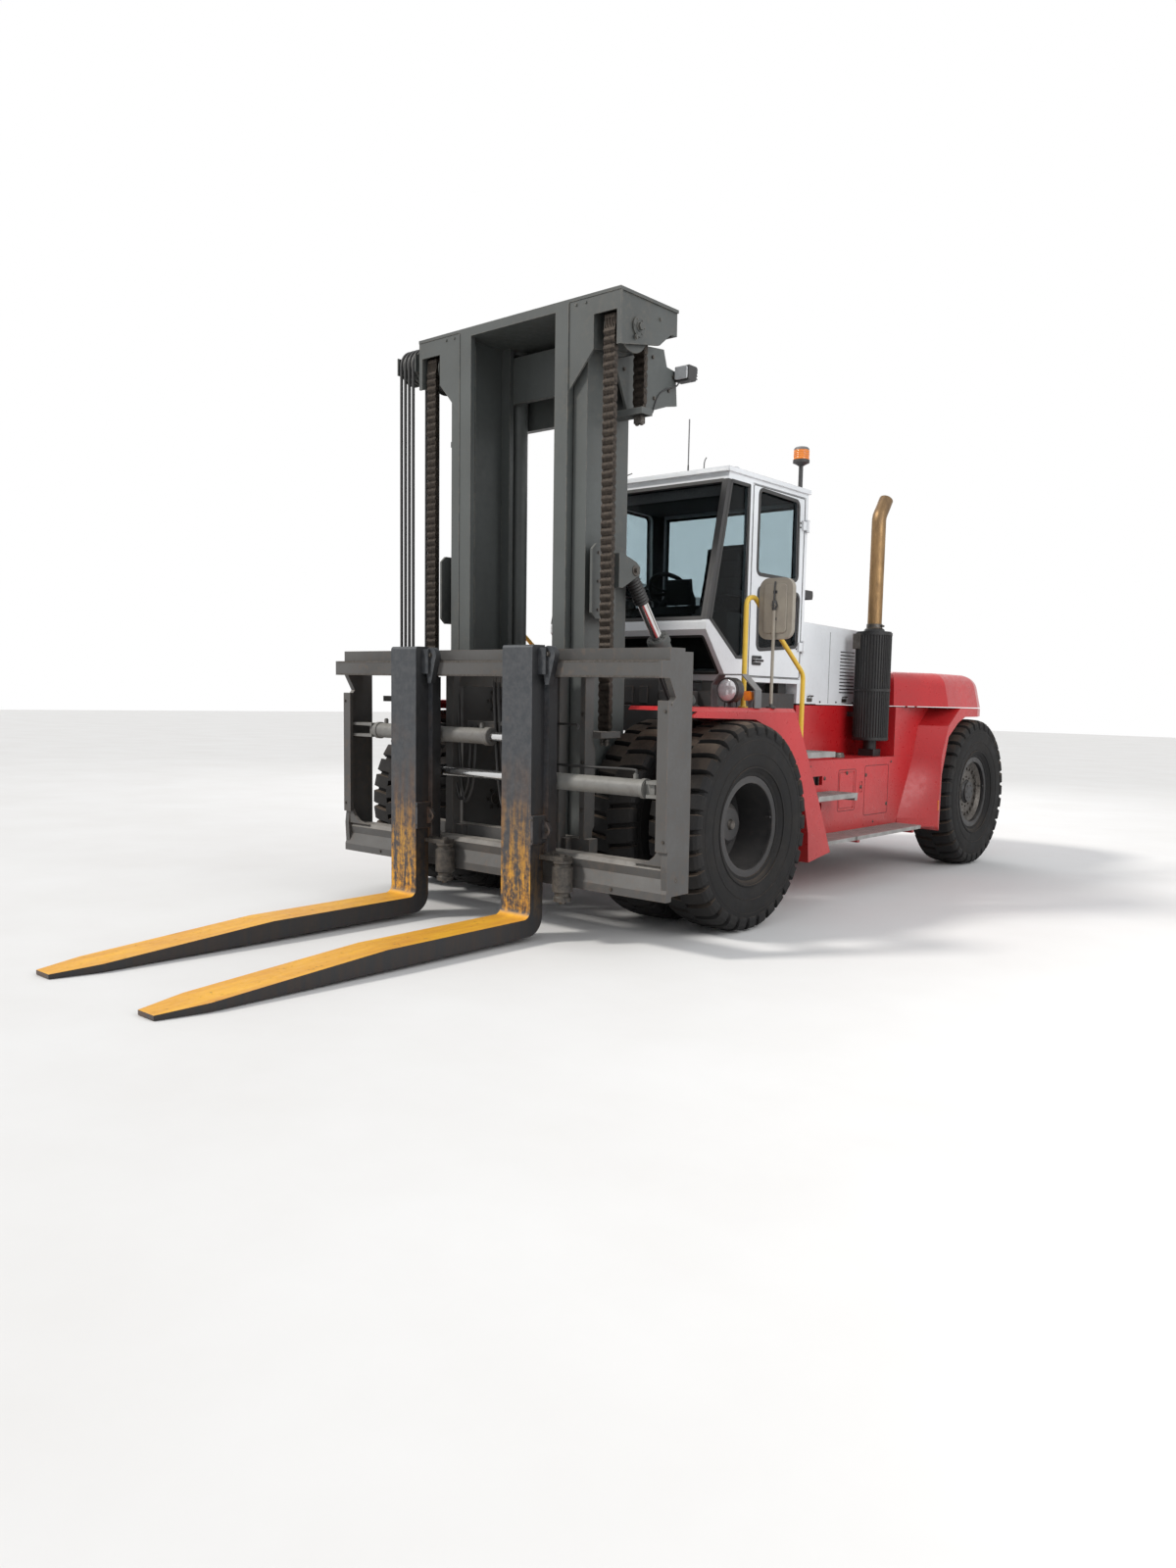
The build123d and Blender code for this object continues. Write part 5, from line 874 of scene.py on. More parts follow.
def fork_frame_parts():
    """Fork cylinders' trim, bolts and strips of the fork frame, hoses and plates of the carriage"""
    b = Build(LEAN)
    # Columns: height, 1 where the gland faces the truck's left, X of the gland, X of the foot
    for z, s, gland, foot in ((UPPER_CYLINDER_Z, 1, 160.5, -989.5), (LOWER_CYLINDER_Z, -1, 384, 1443)):
        b.band([(gland - s * 46, 53), (gland - s * 46, 60), (gland - s * 2, 60), (gland + s * 3, 55),
            (gland + s * 3, 31), (gland - s * 4, 31), (gland - s * 4, 53)], "x", (0, CYLINDER_Y, z), 28)
        for x in (gland - s * 90, foot + s * 90):
            b.rod("z", (x, CYLINDER_Y, 0), 15, (z + 46, z + 78), 12)
            b.bolt((x, CYLINDER_Y, z + 76), "z", 12)
        b.turn([(foot + s * 4, 54), (foot + s * 4, 59), (foot + s * 34, 59), (foot + s * 38, 54)], "x",
            (0, CYLINDER_Y, z), 28)
    b.piece("fork_cylinder_glands", "barrel", "fork_frame")
    for x0, x1, z in ((250, 900, 1316), (475, 1353, 1066)):
        b.curve([(x0, CYLINDER_Y, z - 4), (x0, -1030, z + 16), (x0 + 60, -1022, z + 26),
            ((x0 + x1) / 2, -1000, z + 20), (x1 - 50, -1022, z + 26), (x1, -1030, z + 14),
            (x1, CYLINDER_Y, z - 4)], 8)
    b.piece("fork_cylinder_pipes", "hose", "fork_frame")
    # Bolted wear strips and joints of the frame
    for sign in (-1, 1):
        wall = 172 + sign * 1461.5
        for z in (700, 1440):
            b.bolt((wall - sign * 20, -1111, z), "y", 8, -1)
        b.bolt((wall - sign * 10, -1000, 470), "x", 14, sign)
    for x in (-1060, -700, 420, 1060):
        b.bolt((172 + x, -1100, 380), "y", 9, -1)
    b.piece("fork_frame_bolts", "nut", "fork_frame")
    for z in (1633, 1719):
        b.box((-1270, 1610), (-1179.2, -1177), (z - 5, z + 5))
    b.box((-1285, 1629), (-1101.5, -1099), (1726.5, 1731))
    b.piece("slide_strips", "nut", "fork_frame")
    # Hoses that loop from the carriage to the frame's cylinders
    for k, (x, top) in enumerate(((-330, 1560), (-290, 1530), (60, 1580), (100, 1550))):
        end = x + 170 + 10 * k
        b.curve([(x, -905, top + 60), (x + 4, -915, top - 80), (x + 26 + 12 * k, -925, 1000),
            (x + 80 + 14 * k, -930, 800 - 15 * k), (end - 20, -925, 880), (end, -920, 1080),
            (end, -912, 1300)], 12, 10, 8)
    b.piece("shift_hoses", "hose", "carriage")
    b.box((-380, 140), (-909, -889.5), (1560, 1650))
    for x in (-330, -290, 60, 100):
        b.rod("z", (x, -905, 0), 16, (1590, 1632), 10)
    b.box((-200, 420), (-909, -889.5), (1270, 1330))
    b.piece("hose_manifold", "grey", "carriage", 2.0)
    for z in (760, 1460):
        b.rod("x", (0, -505, z), 44, (331, 336.5), 20)
        b.bolts("x", (336, -505, z), 68, 6, 10, -1)
    for z in (800, 1100, 1400):
        b.bolt((815, -890, z), "y", 10, -1)
    b.pair("carriage_bolts", "nut", "carriage")
    b.prism([(-812, 640), (-775, 690), (-775, 1180), (-812, 1240)], "x", (806, 824))
    b.pair("carriage_webs", "grey", "carriage", 2.0)


def fork_parts():
    """Bolts and roller pins of each fork's carrier"""
    for name, x in FORKS:
        b = Build(LEAN)
        edge = x + 125
        b.bolt((edge + 64, -1221, 1762), "y", 13, -1)
        b.rod("y", (edge + 64, 0, 1762), 16, (-1221, -1180), 16)
        b.bolt((edge + 56, -1212.5, 700), "y", 10, -1)
        roller = edge + 150
        b.rod("z", (roller, -1163.5, 0), 24, (522, 540), 18)
        b.bolt((roller, -1163.5, 548), "z", 18)
        b.bolt((roller, -1163.5, 276), "z", 20, -1)
        for dx in (30, 70):
            b.bolt((edge + dx, -1163.5, 548), "z", 9)
        for z in (640, 768):
            b.bolt((edge + 12, -1295, z), "y", 7, -1)
        b.piece(name + "_fittings", "nut", name)


def lamps():
    """Lamps on the fenders, the beacon, aerials and the lamp behind the cab"""
    b = Build()
    b.turn([(150, 70), (150, 84), (160, 86), (166, 80)], "y", LAMP, 36)
    b.band([(146, 84), (142, 80), (146, 74), (152, 72), (152, 84)], "y", LAMP, 36)
    b.pair("lamp_bezels", "black")
    angles = [pi / 2 * k / 5 for k in range(6)]
    rings = [(149, 73)] + [(149 - 12 * sin(a), 73 * cos(a) + 0.5) for a in angles]
    b.turn(rings, "y", LAMP, 36)
    b.pair("headlamp_lenses", "lens")
    shape = rect(1304, 1364, 1498, 1562, 14)
    b.prism(shape, "y", (159, 222))
    b.prism(grown(shape, -6), "y", (154, 160))
    b.prism(grown(shape, -14), "y", (151, 155))
    b.pair("marker_lenses", "amber", bevel=2.0)
    for z in (1470, 1530, 1590):
        b.box((1040, 1049), (152, 228), (z, z + 8))
    for x in (1160, 1212):
        b.box((x - 3, x + 3), (149, 156), (1452, 1482))
    b.curve([(1178, 232, 1560), (1178, 262, 1520), (1186, 262, 1470), (1190, 250, 1449)], 7)
    b.curve([(1334, 222, 1520), (1334, 240, 1500), (1330, 240, 1449)], 5)
    b.pair("lamp_cables", "hose")
    # Beacon: amber dome with rings over a black foot
    rings = [(3420, 63.5)]
    for z in (3436, 3452, 3468, 3484):
        rings += [(z, 63.5), (z + 3, 61.5), (z + 6, 63.5)]
    rings += [(3500, 60), (3514, 50), (3521.5, 32), (3523, 0.5)]
    b.turn(rings, "z", BEACON, 32)
    b.piece("beacon_dome", "amber")
    b.turn([(3184, 34), (3192, 34), (3196, 17.5), (3370, 17.5), (3384, 40), (3396, 66), (3419, 66),
        (3422, 60)], "z", BEACON, 32)
    b.turn([(3184, 14), (3200, 12), (3206, 6.5), (3260, 6)], "z", (300, 850, 0), 16)
    b.turn([(3184, 20), (3196, 18), (3200, 8)], "z", (420, 900, 0), 16)
    b.curve([(420, 900, 3196), (424, 880, 3215), (470, 820, 3262), (520, 770, 3276)], 4)
    b.curve([(-420, 760, 3184), (-410, 740, 3226), (-330, 735, 3236), (-240, 740, 3215), (-150, 738, 3228)],
        4)
    b.piece("roof_fittings", "plastic")
    # Lamp housing on the cab's back
    shape = rect(1880, 2040, 2330, 2400, [2, 24, 24, 2])
    b.prism(shape, "x", (656, 734))
    b.rod("y", (695, 0, 2365), 24, (2030, 2052), 20)
    b.piece("rear_lamp_housing", "plastic", bevel=3.0)


def work_lamps():
    """Lamps on the outer mast's rear brackets, with their yokes and cable"""
    b = Build(LEAN)
    shape = rounded([(60, 3590), (150, 3590), (170, 3690), (60, 3690)], [10, 18, 18, 10])
    b.prism([(y + 60, z + 40) for y, z in shape], "x", (722, 838))
    b.box((718, 724), (150, 200), (3640, 3700))
    for z in (3650, 3670, 3690, 3710):
        b.box((728, 832), (222, 236), (z, z + 8))
    b.curve([(760, 130, 3640), (760, 90, 3590), (724, 20, 3560), (722, -60, 3500), (722, -120, 3380)], 6)
    b.pair("work_lamp_bodies", "plastic", "outer_mast", 3.0)
    b.prism(rect(730, 830, 3640, 3722, 12), "y", (110, 121))
    b.pair("work_lamp_lenses", "lens", "outer_mast", 1.5)
    for y, z in ((-420, 3600), (-250, 3660), (-120, 3740), (60, 3560), (110, 3660), (-100, 3480)):
        b.bolt((718, y, z), "x", 11)
    for z in (2060, 2240, 2420):
        for y in (-640, -500):
            b.bolt((712, y, z), "x", 9)
    b.box((712, 716), (-600, -560), (2075, 2400))
    b.pair("bracket_bolts", "nut", "outer_mast")
    # Foot pins and their keepers
    b.rod("x", PIVOT, 62, (626, 634), 28)
    b.bolts("x", PIVOT + Vector((634, 0, 0)), 42, 3, 10)
    b.pair("foot_pin_caps", "nut", "outer_mast")


def mirrors():
    """Mirror shells, faces and clamps, and the hand rails' feet"""
    b = Build()
    rim = rect(1239.5, 1496.5, 1915.5, 2324.5, 70, 6)
    b.prism(grown(rim, -7), "y", (458, 466))
    b.prism(grown(rim, -40), "y", (408, 417))
    b.pair("mirror_backs", "beige", bevel=3.0)
    b.prism(grown(rim, -14), "y", (465.5, 467))
    b.pair("mirror_faces", "mirror")
    b.rod("z", (1368, 400, 0), 16, (2108, 2172), 16)
    b.turn([(1450, 34), (1460, 34), (1466, 13), (1480, 11.5)], "z", (1368, 400, 0), 20)
    b.rod("y", (1368, 0, 2140), 22, (388, 424), 18)
    b.bolt((1368, 388, 2140), "y", 10, -1)
    for z in (2050, 2230):
        b.box((1352, 1384), (405, 411), (z - 10, z + 10))
    b.curve([(1368, 396, 2060), (1366, 400, 2240), (1368, 404, 2300)], 6)
    b.pair("mirror_clamps", "plastic", bevel=1.0)
    for y, z, tip in ((298, 1450, 1476), (1088, 1130, 1160)):
        b.turn([(z, 36), (z + 8, 36), (z + 12, 20), (tip, 18)], "z", (1213, y, 0), 20)
        b.bolts("z", (1213, y, z + 7), 27, 4, 5)
    b.pair("handrail_feet", "yellow")


def body_parts():
    """Treads and edges of the steps, doors and latches of the boxes, grilles of the engine hood"""
    b = Build()
    for z, x0, x1, y0, y1 in ((460, 1078, 1300, 1850, 3000), (798, 1080, 1292, 1242, 1838),
            (1130, 1080, 1292, 1012, 1450)):
        x = x0 + 12
        while x < x1 - 6:
            y = y0 + 14
            while y < y1 - 6:
                b.box((x - 7, x + 7), (y - 2.2, y + 2.2), (z - 0.5, z + 2.4))
                b.box((x + 12, x + 16.4), (y + 11, y + 25), (z - 0.5, z + 2.4))
                y += 42
            x += 34
    b.pair("step_treads", "steel")
    b.prism([(1070, 430), (1340, 430), (1340, 462), (1332, 462), (1332, 438), (1070, 438)], "y", (1800, 1806))
    for z, x, y0, y1 in ((768, 1300, 1231, 1849), (1096, 1300, 1001, 1460)):
        b.box((x - 1, x + 3), (y0, y1), (z - 8, z + 31))
    b.pair("step_edges", "steel", bevel=1.0)
    # Doors, latches and seams of the tank boxes
    for y0, y1, z0, z1 in ((1960, 2260, 620, 960), (2420, 2860, 560, 980)):
        out = rect(y0, y1, z0, z1, 24)
        b.ring(out, grown(out, -5), "x", (1068, 1071.2))
    b.pair("box_seams", "seam")
    for z in (850, 640):
        for k in range(6):
            y = 1312 + k * 66
            b.box((1012, 1069), (y - 3, y + 3), (z - 2, z + 72))
        b.box((1008, 1014), (1296, 1704), (z - 4, z + 74))
    b.pair("vent_bars", "black")
    for y, z in ((1735, 900), (2105, 930), (2440, 900), (2840, 640), (2355, 805)):
        b.turn([(1068, 16), (1073, 16), (1075, 12), (1075, 0.5)], "x", (0, y, z), 16)
        b.box((1074, 1079), (y - 3, y + 3), (z - 11, z + 11))
    for y, z in ((1240, 1000), (1500, 1000), (2900, 1000), (2600, 500), (1400, 480)):
        b.bolt((1070, y, z), "x", 8)
    # Cap of the tank on the box's top
    b.turn([(1045, 60), (1062, 60), (1066, 54), (1082, 52), (1086, 44), (1086, 0.5)], "z", (900, 2250, 0), 24)
    b.pair("box_latches", "nut", bevel=0.8)
    # Engine hood: seams, grilles, latches and handles
    for s in (1, -1):
        x = s * 700
        b.box(sorted((x - s * 2, x + s * 1.2)), (2417.5, 2422.5), (1490, 2090))
        for k in range(13):
            z = 1580 + k * 29
            b.prism(rect(2610, 2870, z, z + 10), "x", sorted((x - s * 2, x + s * 1.6)))
    b.box((-655, 655), (2418, 2423), (2136, 2140))
    for k in range(14):
        x = -420 + k * 60
        b.prism([(2540, 2134), (2540, 2138.4), (2800, 2132.9), (2800, 2129)], "x", (x, x + 34))
    b.piece("hood_grilles", "black", "engine_hood")
    for y in (2100, 2700):
        b.box((700, 706), (y - 40, y + 40), (1500, 1530))
        b.tube([(703, y - 30, 1540), (722, y - 30, 1548), (722, y + 30, 1548), (703, y + 30, 1540)], 5, 8)
    for y in (1960, 2280, 2560, 2860):
        b.bolt((700, y, 1500), "x", 7)
        b.bolt((-700, y, 1500), "x", 7, -1)
    b.piece("hood_latches", "nut", "engine_hood")


def rear_parts():
    """Rear hood's grille, tail lamps, tow slot's trim and muffler"""
    b = Build()
    for k in range(11):
        z = 1500 + k * 16
        y = 4930 - tan(radians(12)) * (z - 1480)
        b.box((-330, 330), (y - 12, y + 1.5), (z, z + 8))
    b.piece("rear_grille", "black", "rear_hood")
    # Lamps let into the slanting edge of the deck
    start, d = Vector((480, 4930)), Vector((380, -100))
    n = Vector((-d.y, d.x)).normalized()
    for f0, f1, mat in ((0.3, 0.62, "tail"), (0.66, 0.86, "amber")):
        a, c = start + d * f0, start + d * f1
        b = Build()
        b.prism([a - n * 4, c - n * 4, c + n * 9, a + n * 9], "z", (1408, 1462))
        b.pair("tail_lamp_" + mat, mat, "chassis", 3.0)
    b = Build()
    b.prism(rect(1284, 1300, 560, 650, 4), "y", (3405, 3412))
    b.pair("flare_reflectors", "amber", bevel=1.0)
    for z in (1000, 1150, 1300):
        b.bolt((300, 4930, z), "y", 14)
        b.bolt((420, 4930, z), "y", 14)
    b.box((200, 260), (4925, 4934), (1180, 1240))
    b.turn([(4930, 46), (4936, 46), (4938, 40), (4938, 26), (4932, 24)], "y", (0, 0, 1180), 28)
    b.pair("tail_bolts", "nut", keep=True)
    # Tow pin's head, in one piece with the bolts
    b.turn([(792, 40), (804, 40), (808, 30), (808, 0.5)], "z", (0, 4870, 0), 20)
    b.piece("tow_boss", "nut")
    # Muffler: ribs, collar, clamps and the pipe's lip
    x, y = MUFFLER[:2]
    for k in range(40):
        rib = []
        for r, by in ((147, -0.03), (151.5, 0), (147, 0.03), (140, 0)):
            a = 2 * pi * k / 40 + by
            rib.append((x + r * cos(a), y + r * sin(a)))
        b.prism(rib, "z", (1200, 2090))
    for z in (1185, 1600, 2078):
        b.band([(z, 144), (z, 154), (z + 22, 154), (z + 22, 144)], "z", MUFFLER, 40)
    b.turn([(2108, 120), (2112, 92), (2130, 84), (2146, 62)], "z", MUFFLER, 32)
    b.piece("muffler_ribs", "stack")
    b.band([(2140, 60), (2140, 67), (2176, 67), (2176, 60)], "z", MUFFLER, 32)
    b.box((970, 1000), (2780, 2810), (2150, 2166))
    b.bolt((1000, 2795, 2158), "x", 7)
    b.box((790, 860), (2650, 2700), (1960, 2090))
    b.piece("muffler_clamp", "nut", bevel=1.5)


# Cab: places of the windscreen and of the window under it, outlines of the side panes
SCREEN = Matrix.Translation((0, 496, 2054)) @ Matrix.Rotation(-atan(0.2208), 4, "X")
CHIN = Matrix(((1, 0, 0, 0), (0, 0.776, 0.63, 496), (0, 0.63, -0.776, 2002), (0, 0, 0, 1)))
UPPER = rounded([(1150, 2450), (1756, 2450), (1742, 3078), (1150, 3092)], 50, 5)
LOWER = rounded([(1180, 1880), (1780, 1930), (1790, 2355), (1172, 2362)], 50, 5)
CORNER = rounded([(545, 2075), (900, 1812), (1020, 1812), (1020, 3095), (768, 3095)], [6, 6, 50, 8, 8], 5)


def cab_rubbers():
    """Window rubbers, door trim and lining, front posts and the roof's trim"""
    b = Build()
    b.ring(grown(CORNER, 5), grown(CORNER, -20), "x", (748, 754))
    b.both()
    rear = rect(-640, 640, 2160, 3060, 14)
    b.ring(grown(rear, 8), grown(rear, -18), "y", (1876, 1884))
    b.place = SCREEN
    screen = rect(-722, 722, 22, 1066, 20)
    b.ring(grown(screen, 6), grown(screen, -20), "y", (-4, 22))
    b.place = CHIN
    chin = rect(-705, 705, 56, 401, 20)
    b.ring(grown(chin, 5), grown(chin, -16), "y", (-3, 14))
    b.piece("window_rubbers", "hose", bevel=1.0)
    for name, _, flip in SIDES:
        b = Build(flip)
        for pane in (UPPER, LOWER):
            b.ring(grown(pane, 9), grown(pane, -18), "x", (748, 755))
        b.piece("door_rubbers_" + name, "hose", "door_" + name, 1.0)
        # Seal round the door's edge, handle, lock and hinge bolts
        edge = rect(1070, 1834, 1682, 3110, 20)
        b.ring(edge, grown(edge, -7), "x", (747, 751.5))
        b.prism(rect(1118, 1244, 1768, 1840, 12), "x", (749, 756))
        b.curve([(752, 1134, 1802), (782, 1138, 1803), (786, 1180, 1803), (782, 1224, 1803),
            (752, 1228, 1802)], 9, 10)
        b.turn([(756, 14), (764, 13), (766, 10), (766, 0.5)], "x", (0, 1226, 1828), 16)
        b.piece("door_trim_" + name, "plastic", "door_" + name, 0.8)
        for z in (1918, 1952, 2878, 2912):
            for y in (1772, 1800):
                b.bolt((750, y, z), "x", 6)
        b.piece("door_bolts_" + name, "nut", "door_" + name)
        # Inner lining round both panes
        for pane, low, high in ((UPPER, 2406, 3104), (LOWER, 1690, 2406)):
            frame_line = rect(1076, 1828, low, high, 6, 5)
            b.ring(frame_line, grown(pane, 4), "x", (700, 704.5))
        b.box((686, 700), (1220, 1700), (2372, 2420))
        b.piece("door_lining_" + name, "lining", "door_" + name, 1.0)
    # Black front posts between the windscreen and the corner panes
    b = Build()
    b.prism([(497.5, 2072), (545, 2072), (768, 3098), (722.5, 3098)], "x", (716, 752))
    b.pair("front_posts", "plastic", bevel=1.5)
    # Gutter, roof edge and front brow
    b.prism([(700, 3148), (722, 3148), (722, 3188), (712, 3186)], "x", (-764, 764))
    b.prism(rect(1010, 1290, 3186, 3197, 2), "x", (-240, 240))
    for x in (-600, 600):
        b.curve([(x, 1010, 3196), (x, 1012, 3232), (x, 1060, 3246), (x, 1100, 3232), (x, 1102, 3200)], 8)
    b.piece("roof_trim", "roof", bevel=1.5)


def wipers():
    """Wiper on the windscreen, and the cab's inner linings"""
    b = Build(SCREEN)
    b.rod("y", (-330, 0, 30), 14, (-26, 4), 14)
    b.curve([(-330, -22, 30), (-290, -24, 260), (-236, -20, 520)], 6)
    b.prism([(-262, 330), (-252, 326), (-196, 800), (-206, 803)], "y", (-16, -8))
    b.box((-246, -222), (-26, -14), (500, 540))
    b.piece("wipers", "hose")
    # Linings and the rolled blind inside
    b.place = PLAIN
    b.box((-700, 700), (800, 1832), (3086, 3098))
    b.box((-700, 700), (1828, 1834), (1692, 2150))
    b.box((-704, -646), (1828, 1834), (2150, 3090))
    b.box((646, 704), (1828, 1834), (2150, 3090))
    b.box((-700, 700), (860, 1832), (1690.5, 1698))
    b.place = CHIN
    b.box((-700, 700), (60, 70), (30, 420))
    b.place = SCREEN
    b.box((-690, 690), (34, 70), (960, 1040))
    b.rod("x", (0, 90, 1010), 26, (-640, 640), 16)
    b.piece("cab_linings", "lining", bevel=2.0)


def cab_inside():
    """Steering wheel, levers, arm rests, pedals and seat shell"""
    tilt = Matrix.Translation((75, 990, 2316)) @ Matrix.Rotation(radians(-49.2), 4, "X")
    b = Build(tilt)
    b.band([(v, 189 + u) for u, v in circle(17, 10)], "z", (0, 0, 0), 48)
    for k in range(3):
        a = radians(90 + 120 * k)
        c, s = cos(a), sin(a)
        b.tube([(30 * c, 30 * s, 4), (110 * c, 110 * s, -6), (182 * c, 182 * s, 0)], 9, 8)
    b.turn([(-16, 50), (-8, 58), (14, 54), (24, 40), (28, 0.5)], "z", (0, 0, 0), 32)
    b.rod("z", (120, 140, 0), 20, (14, 60), 16)
    b.piece("steering_rim", "plastic")
    # Levers and switches on the console, arm rests and display
    b.place = PLAIN
    for k in range(4):
        x, y = 330, 1200 + 62 * k
        b.curve([(x, y, 2178), (x - 4, y - 8, 2230), (x - 2, y - 14, 2268)], 5)
        b.turn([(2262, 11), (2274, 17), (2292, 17), (2304, 9), (2305, 0.5)], "z", (x - 2, y - 14, 0), 16)
    for k in range(5):
        b.box((420, 432), (1180 + 60 * k, 1216 + 60 * k), (2150, 2172))
    for span in ((330, 390), (-240, -180)):
        b.prism(rect(1320, 1640, 2330, 2372, 14), "x", span)
    b.box((340, 380), (1640, 1700), (2180, 2360))
    b.box((-230, -190), (1640, 1700), (2180, 2360))
    b.prism(rounded([(640, 2190), (672, 2196), (636, 2380), (604, 2374)], 8), "x", (300, 520))
    b.prism(rounded([(640, 2190), (672, 2196), (650, 2310), (618, 2304)], 8), "x", (-380, -230))
    b.box((-120, -40), (640, 690), (2184, 2250))
    b.curve([(40, 890, 2240), (-20, 900, 2262), (-90, 905, 2275)], 6)
    b.curve([(110, 890, 2240), (180, 900, 2262), (240, 905, 2275)], 6)
    b.piece("cab_controls", "plastic", bevel=3.0)
    for x in (-60, 60, 190):
        b.prism([(870, 1790), (900, 1782), (965, 1880), (950, 1892)], "x", (x, x + 70))
    b.piece("pedals", "nut", bevel=2.0)
    # Seat shell, suspension bellows and belt
    for k in range(6):
        z = 1900 + 26 * k
        b.prism(rect(SEAT - 190, SEAT + 190, 1360, 1710, 40), "z", (z, z + 16))
    b.prism(rounded([(1712, 2200), (1760, 2200), (1838, 2780), (1800, 2790)], 10), "x",
        (SEAT - 190, SEAT + 190))
    for x in (SEAT - 245, SEAT + 215):
        b.prism(rect(1420, 1700, 2050, 2110, 16), "x", (x, x + 30))
    b.piece("seat_shell", "plastic", bevel=3.0)


CLOTH_FRAMES = 20
CHANNEL_WIDTH, CHANNEL_DEPTH = 7.0, 0.007


def cushion(name, outline, span, sections, channels, cap):
    """Padded cushion: a block blown up as cloth by no more than a cap, with sewn channels pressed in"""
    b = Build()
    b.prism(outline, "x", span)
    obj = add_object(name, b.mesh(name, 22, 3, 0))
    view = bpy.context.view_layer

    def apply():
        view.update()
        done = bpy.data.meshes.new_from_object(obj.evaluated_get(view.depsgraph))
        obj.modifiers.clear()
        obj.data = done

    remesh = obj.modifiers.new("remesh", "REMESH")
    remesh.mode = "VOXEL"
    remesh.voxel_size = 0.006
    apply()
    rest = [v.co.copy() for v in obj.data.vertices]
    cloth = obj.modifiers.new("cloth", "CLOTH")
    cloth.settings.use_pressure = True
    cloth.settings.uniform_pressure_force = 4.0
    cloth.settings.effector_weights.gravity = 0.0
    cloth.settings.quality = 5
    for number in range(1, CLOTH_FRAMES + 1):
        bpy.context.scene.frame_set(number)
    apply()
    bpy.context.scene.frame_set(1)
    for v, p in zip(obj.data.vertices, rest):
        move = v.co - p
        if move.length > cap:
            v.co = p + move.normalized() * cap
    for v in obj.data.vertices:
        y = (v.co.y + OY) / MM
        z = v.co.z / MM
        for place, slope in channels:
            away = slope[0] * (y - place[0]) + slope[1] * (z - place[1])
            near = exp(-(away / CHANNEL_WIDTH) ** 2)
            if near > 0.02 and sections(y, z):
                v.co = v.co - v.normal * CHANNEL_DEPTH * near
    sub = obj.modifiers.new("sub", "SUBSURF")
    sub.levels = sub.render_levels = 1
    apply()
    for poly in obj.data.polygons:
        poly.use_smooth = True
    obj.data.materials.clear()
    obj.data.materials.append(M["fabric"])
    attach(obj, "chassis")
    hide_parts("seat_cushions")
    return obj


def seams(name, obj, points):
    """Piping laid on a cushion along points drawn to its surface; X counts from the seat's middle"""
    b = Build()
    path = []
    for p in smooth_path([(SEAT + x, y, z) for x, y, z in (*points, points[0])], 8):
        _, place, normal, _ = obj.closest_point_on_mesh(Vector((p.x * MM - OX, p.y * MM - OY, p.z * MM)))
        q = place + normal * 0.001
        path.append(((q.x + OX) / MM, (q.y + OY) / MM, q.z / MM))
    b.tube(path, 4.5, 8, ends=False)
    b.piece(name, "fabric")


def seat():
    """Squab and back, each with its piping round the edge"""
    squab = cushion("seat_squab", [(1240, 2090), (1688, 2090), (1690, 2192), (1450, 2180), (1250, 2202)],
        (SEAT - 218, SEAT + 218), lambda y, z: z > 2120, [((y, 0), (1, 0)) for y in (1370, 1500, 1620)],
        0.024)
    seams("squab_piping", squab, ((-200, 1262, 2196), (0, 1250, 2200), (200, 1262, 2196), (212, 1470, 2180),
        (200, 1676, 2190), (0, 1684, 2190), (-200, 1676, 2190), (-212, 1470, 2180)))
    back = cushion("seat_back", [(1612, 2222), (1692, 2222), (1776, 2776), (1732, 2786), (1640, 2380)],
        (SEAT - 198, SEAT + 198), lambda y, z: y < 1668 + 0.15 * (z - 2210),
        [((0, z), (0, 1)) for z in (2360, 2500, 2640)], 0.022)
    seams("back_piping", back, ((-180, 1618, 2250), (0, 1612, 2236), (180, 1618, 2250), (192, 1660, 2500),
        (170, 1720, 2760), (0, 1728, 2780), (-170, 1720, 2760), (-192, 1660, 2500)))


def underparts():
    """Valve block with six plates on its front, and pump box, between the fenders, under the cab's front"""
    b = Build()
    b.prism(rect(560, 860, 1440, 1650, 14), "x", (-640, 300))
    b.prism(rect(520, 700, 1300, 1560, 10), "x", (330, 560))
    for k in range(6):
        b.prism(rect(548, 562, 1460, 1590), "x", (-580 + 140 * k, -500 + 140 * k))
    b.piece("valve_block", "frame", bevel=4.0)


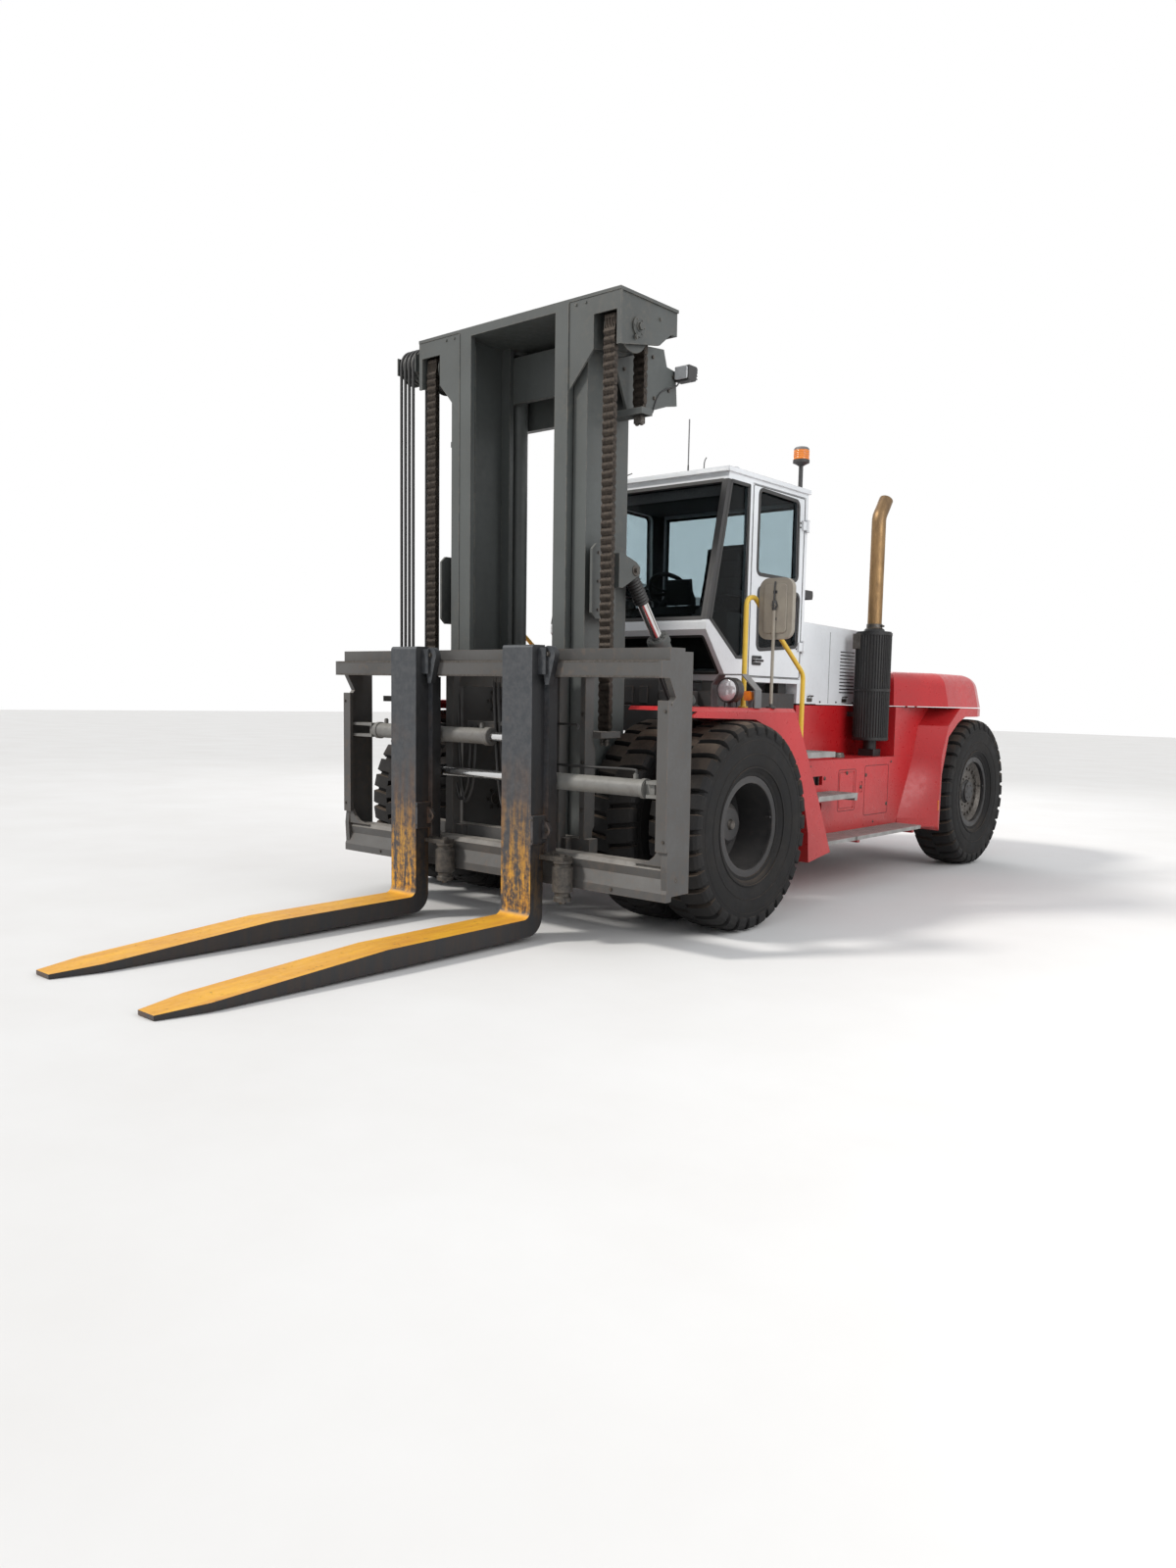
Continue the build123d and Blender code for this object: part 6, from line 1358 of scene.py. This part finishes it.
def stage():
    """Floor, backdrop and light"""
    floor = bpy.data.meshes.new("floor")
    r = 60
    floor.from_pydata([(-r, -r, 0), (r, -r, 0), (r, r, 0), (-r, r, 0)], [], [(0, 1, 2, 3)])
    obj = add_object("floor", floor)
    obj.location.z = -0.001
    m = Mat("floor_pale")
    n = m.noise(0.8, 6, 0.6)
    m.set("Base Color", m.mix(m.remap(n, 0.3, 0.7), (0.7, 0.69, 0.68), (0.74, 0.735, 0.73)))
    m.set("Roughness", 0.85)
    floor.materials.append(m.mat)

    world = bpy.data.worlds.new("studio")
    bpy.context.scene.world = world
    world.use_nodes = True
    world.node_tree.nodes.clear()
    new, wire = world.node_tree.nodes.new, world.node_tree.links.new
    path = new("ShaderNodeLightPath")
    mix = new("ShaderNodeMixShader")
    # Bluish light on the truck, plain white where the sky itself is seen, mirrored or looked at through glass
    for slot, colour, strength in ((1, (0.93, 0.96, 1.0, 1), 0.62), (2, (1, 1, 1, 1), 1.0)):
        shade = new("ShaderNodeBackground")
        shade.inputs["Color"].default_value = colour
        shade.inputs["Strength"].default_value = strength
        wire(shade.outputs[0], mix.inputs[slot])
    seen = path.outputs["Is Camera Ray"]
    for ray in ("Is Glossy Ray", "Is Transmission Ray"):
        either = new("ShaderNodeMath")
        either.operation = "MAXIMUM"
        wire(seen, either.inputs[0])
        wire(path.outputs[ray], either.inputs[1])
        seen = either.outputs[0]
    wire(seen, mix.inputs[0])
    wire(mix.outputs[0], new("ShaderNodeOutputWorld").inputs[0])

    def light(name, kind, power, direction, **values):
        data = bpy.data.lights.new(name, kind)
        data.energy = power
        for key, value in values.items():
            setattr(data, key, value)
        lamp = add_object(name, data)
        lamp.rotation_euler = Vector(direction).to_track_quat("-Z", "Y").to_euler()
        return lamp

    light("key", "SUN", 2.3, (0.42, 0.62, -0.66), angle=radians(9), color=(1.0, 0.97, 0.92))
    for name, place, target, size, power in (("fill", (9, -1, 6), (0, 0, 1.5), 7, 420),
            ("back", (-6, 10, 7), (0, 1, 1.5), 8, 380)):
        light(name, "AREA", power, Vector(target) - Vector(place), shape="DISK", size=size).location = place

for make in (look, wheel_parts, mast_parts, mast_hoses, lift_cylinders, crosshead, tilt_cylinders,
             fork_frame_parts, fork_parts, lamps, work_lamps, mirrors, body_parts, rear_parts, cab_rubbers,
             wipers, cab_inside, seat, underparts, stage):
    make()
bpy.context.scene.view_settings.view_transform = "Standard"
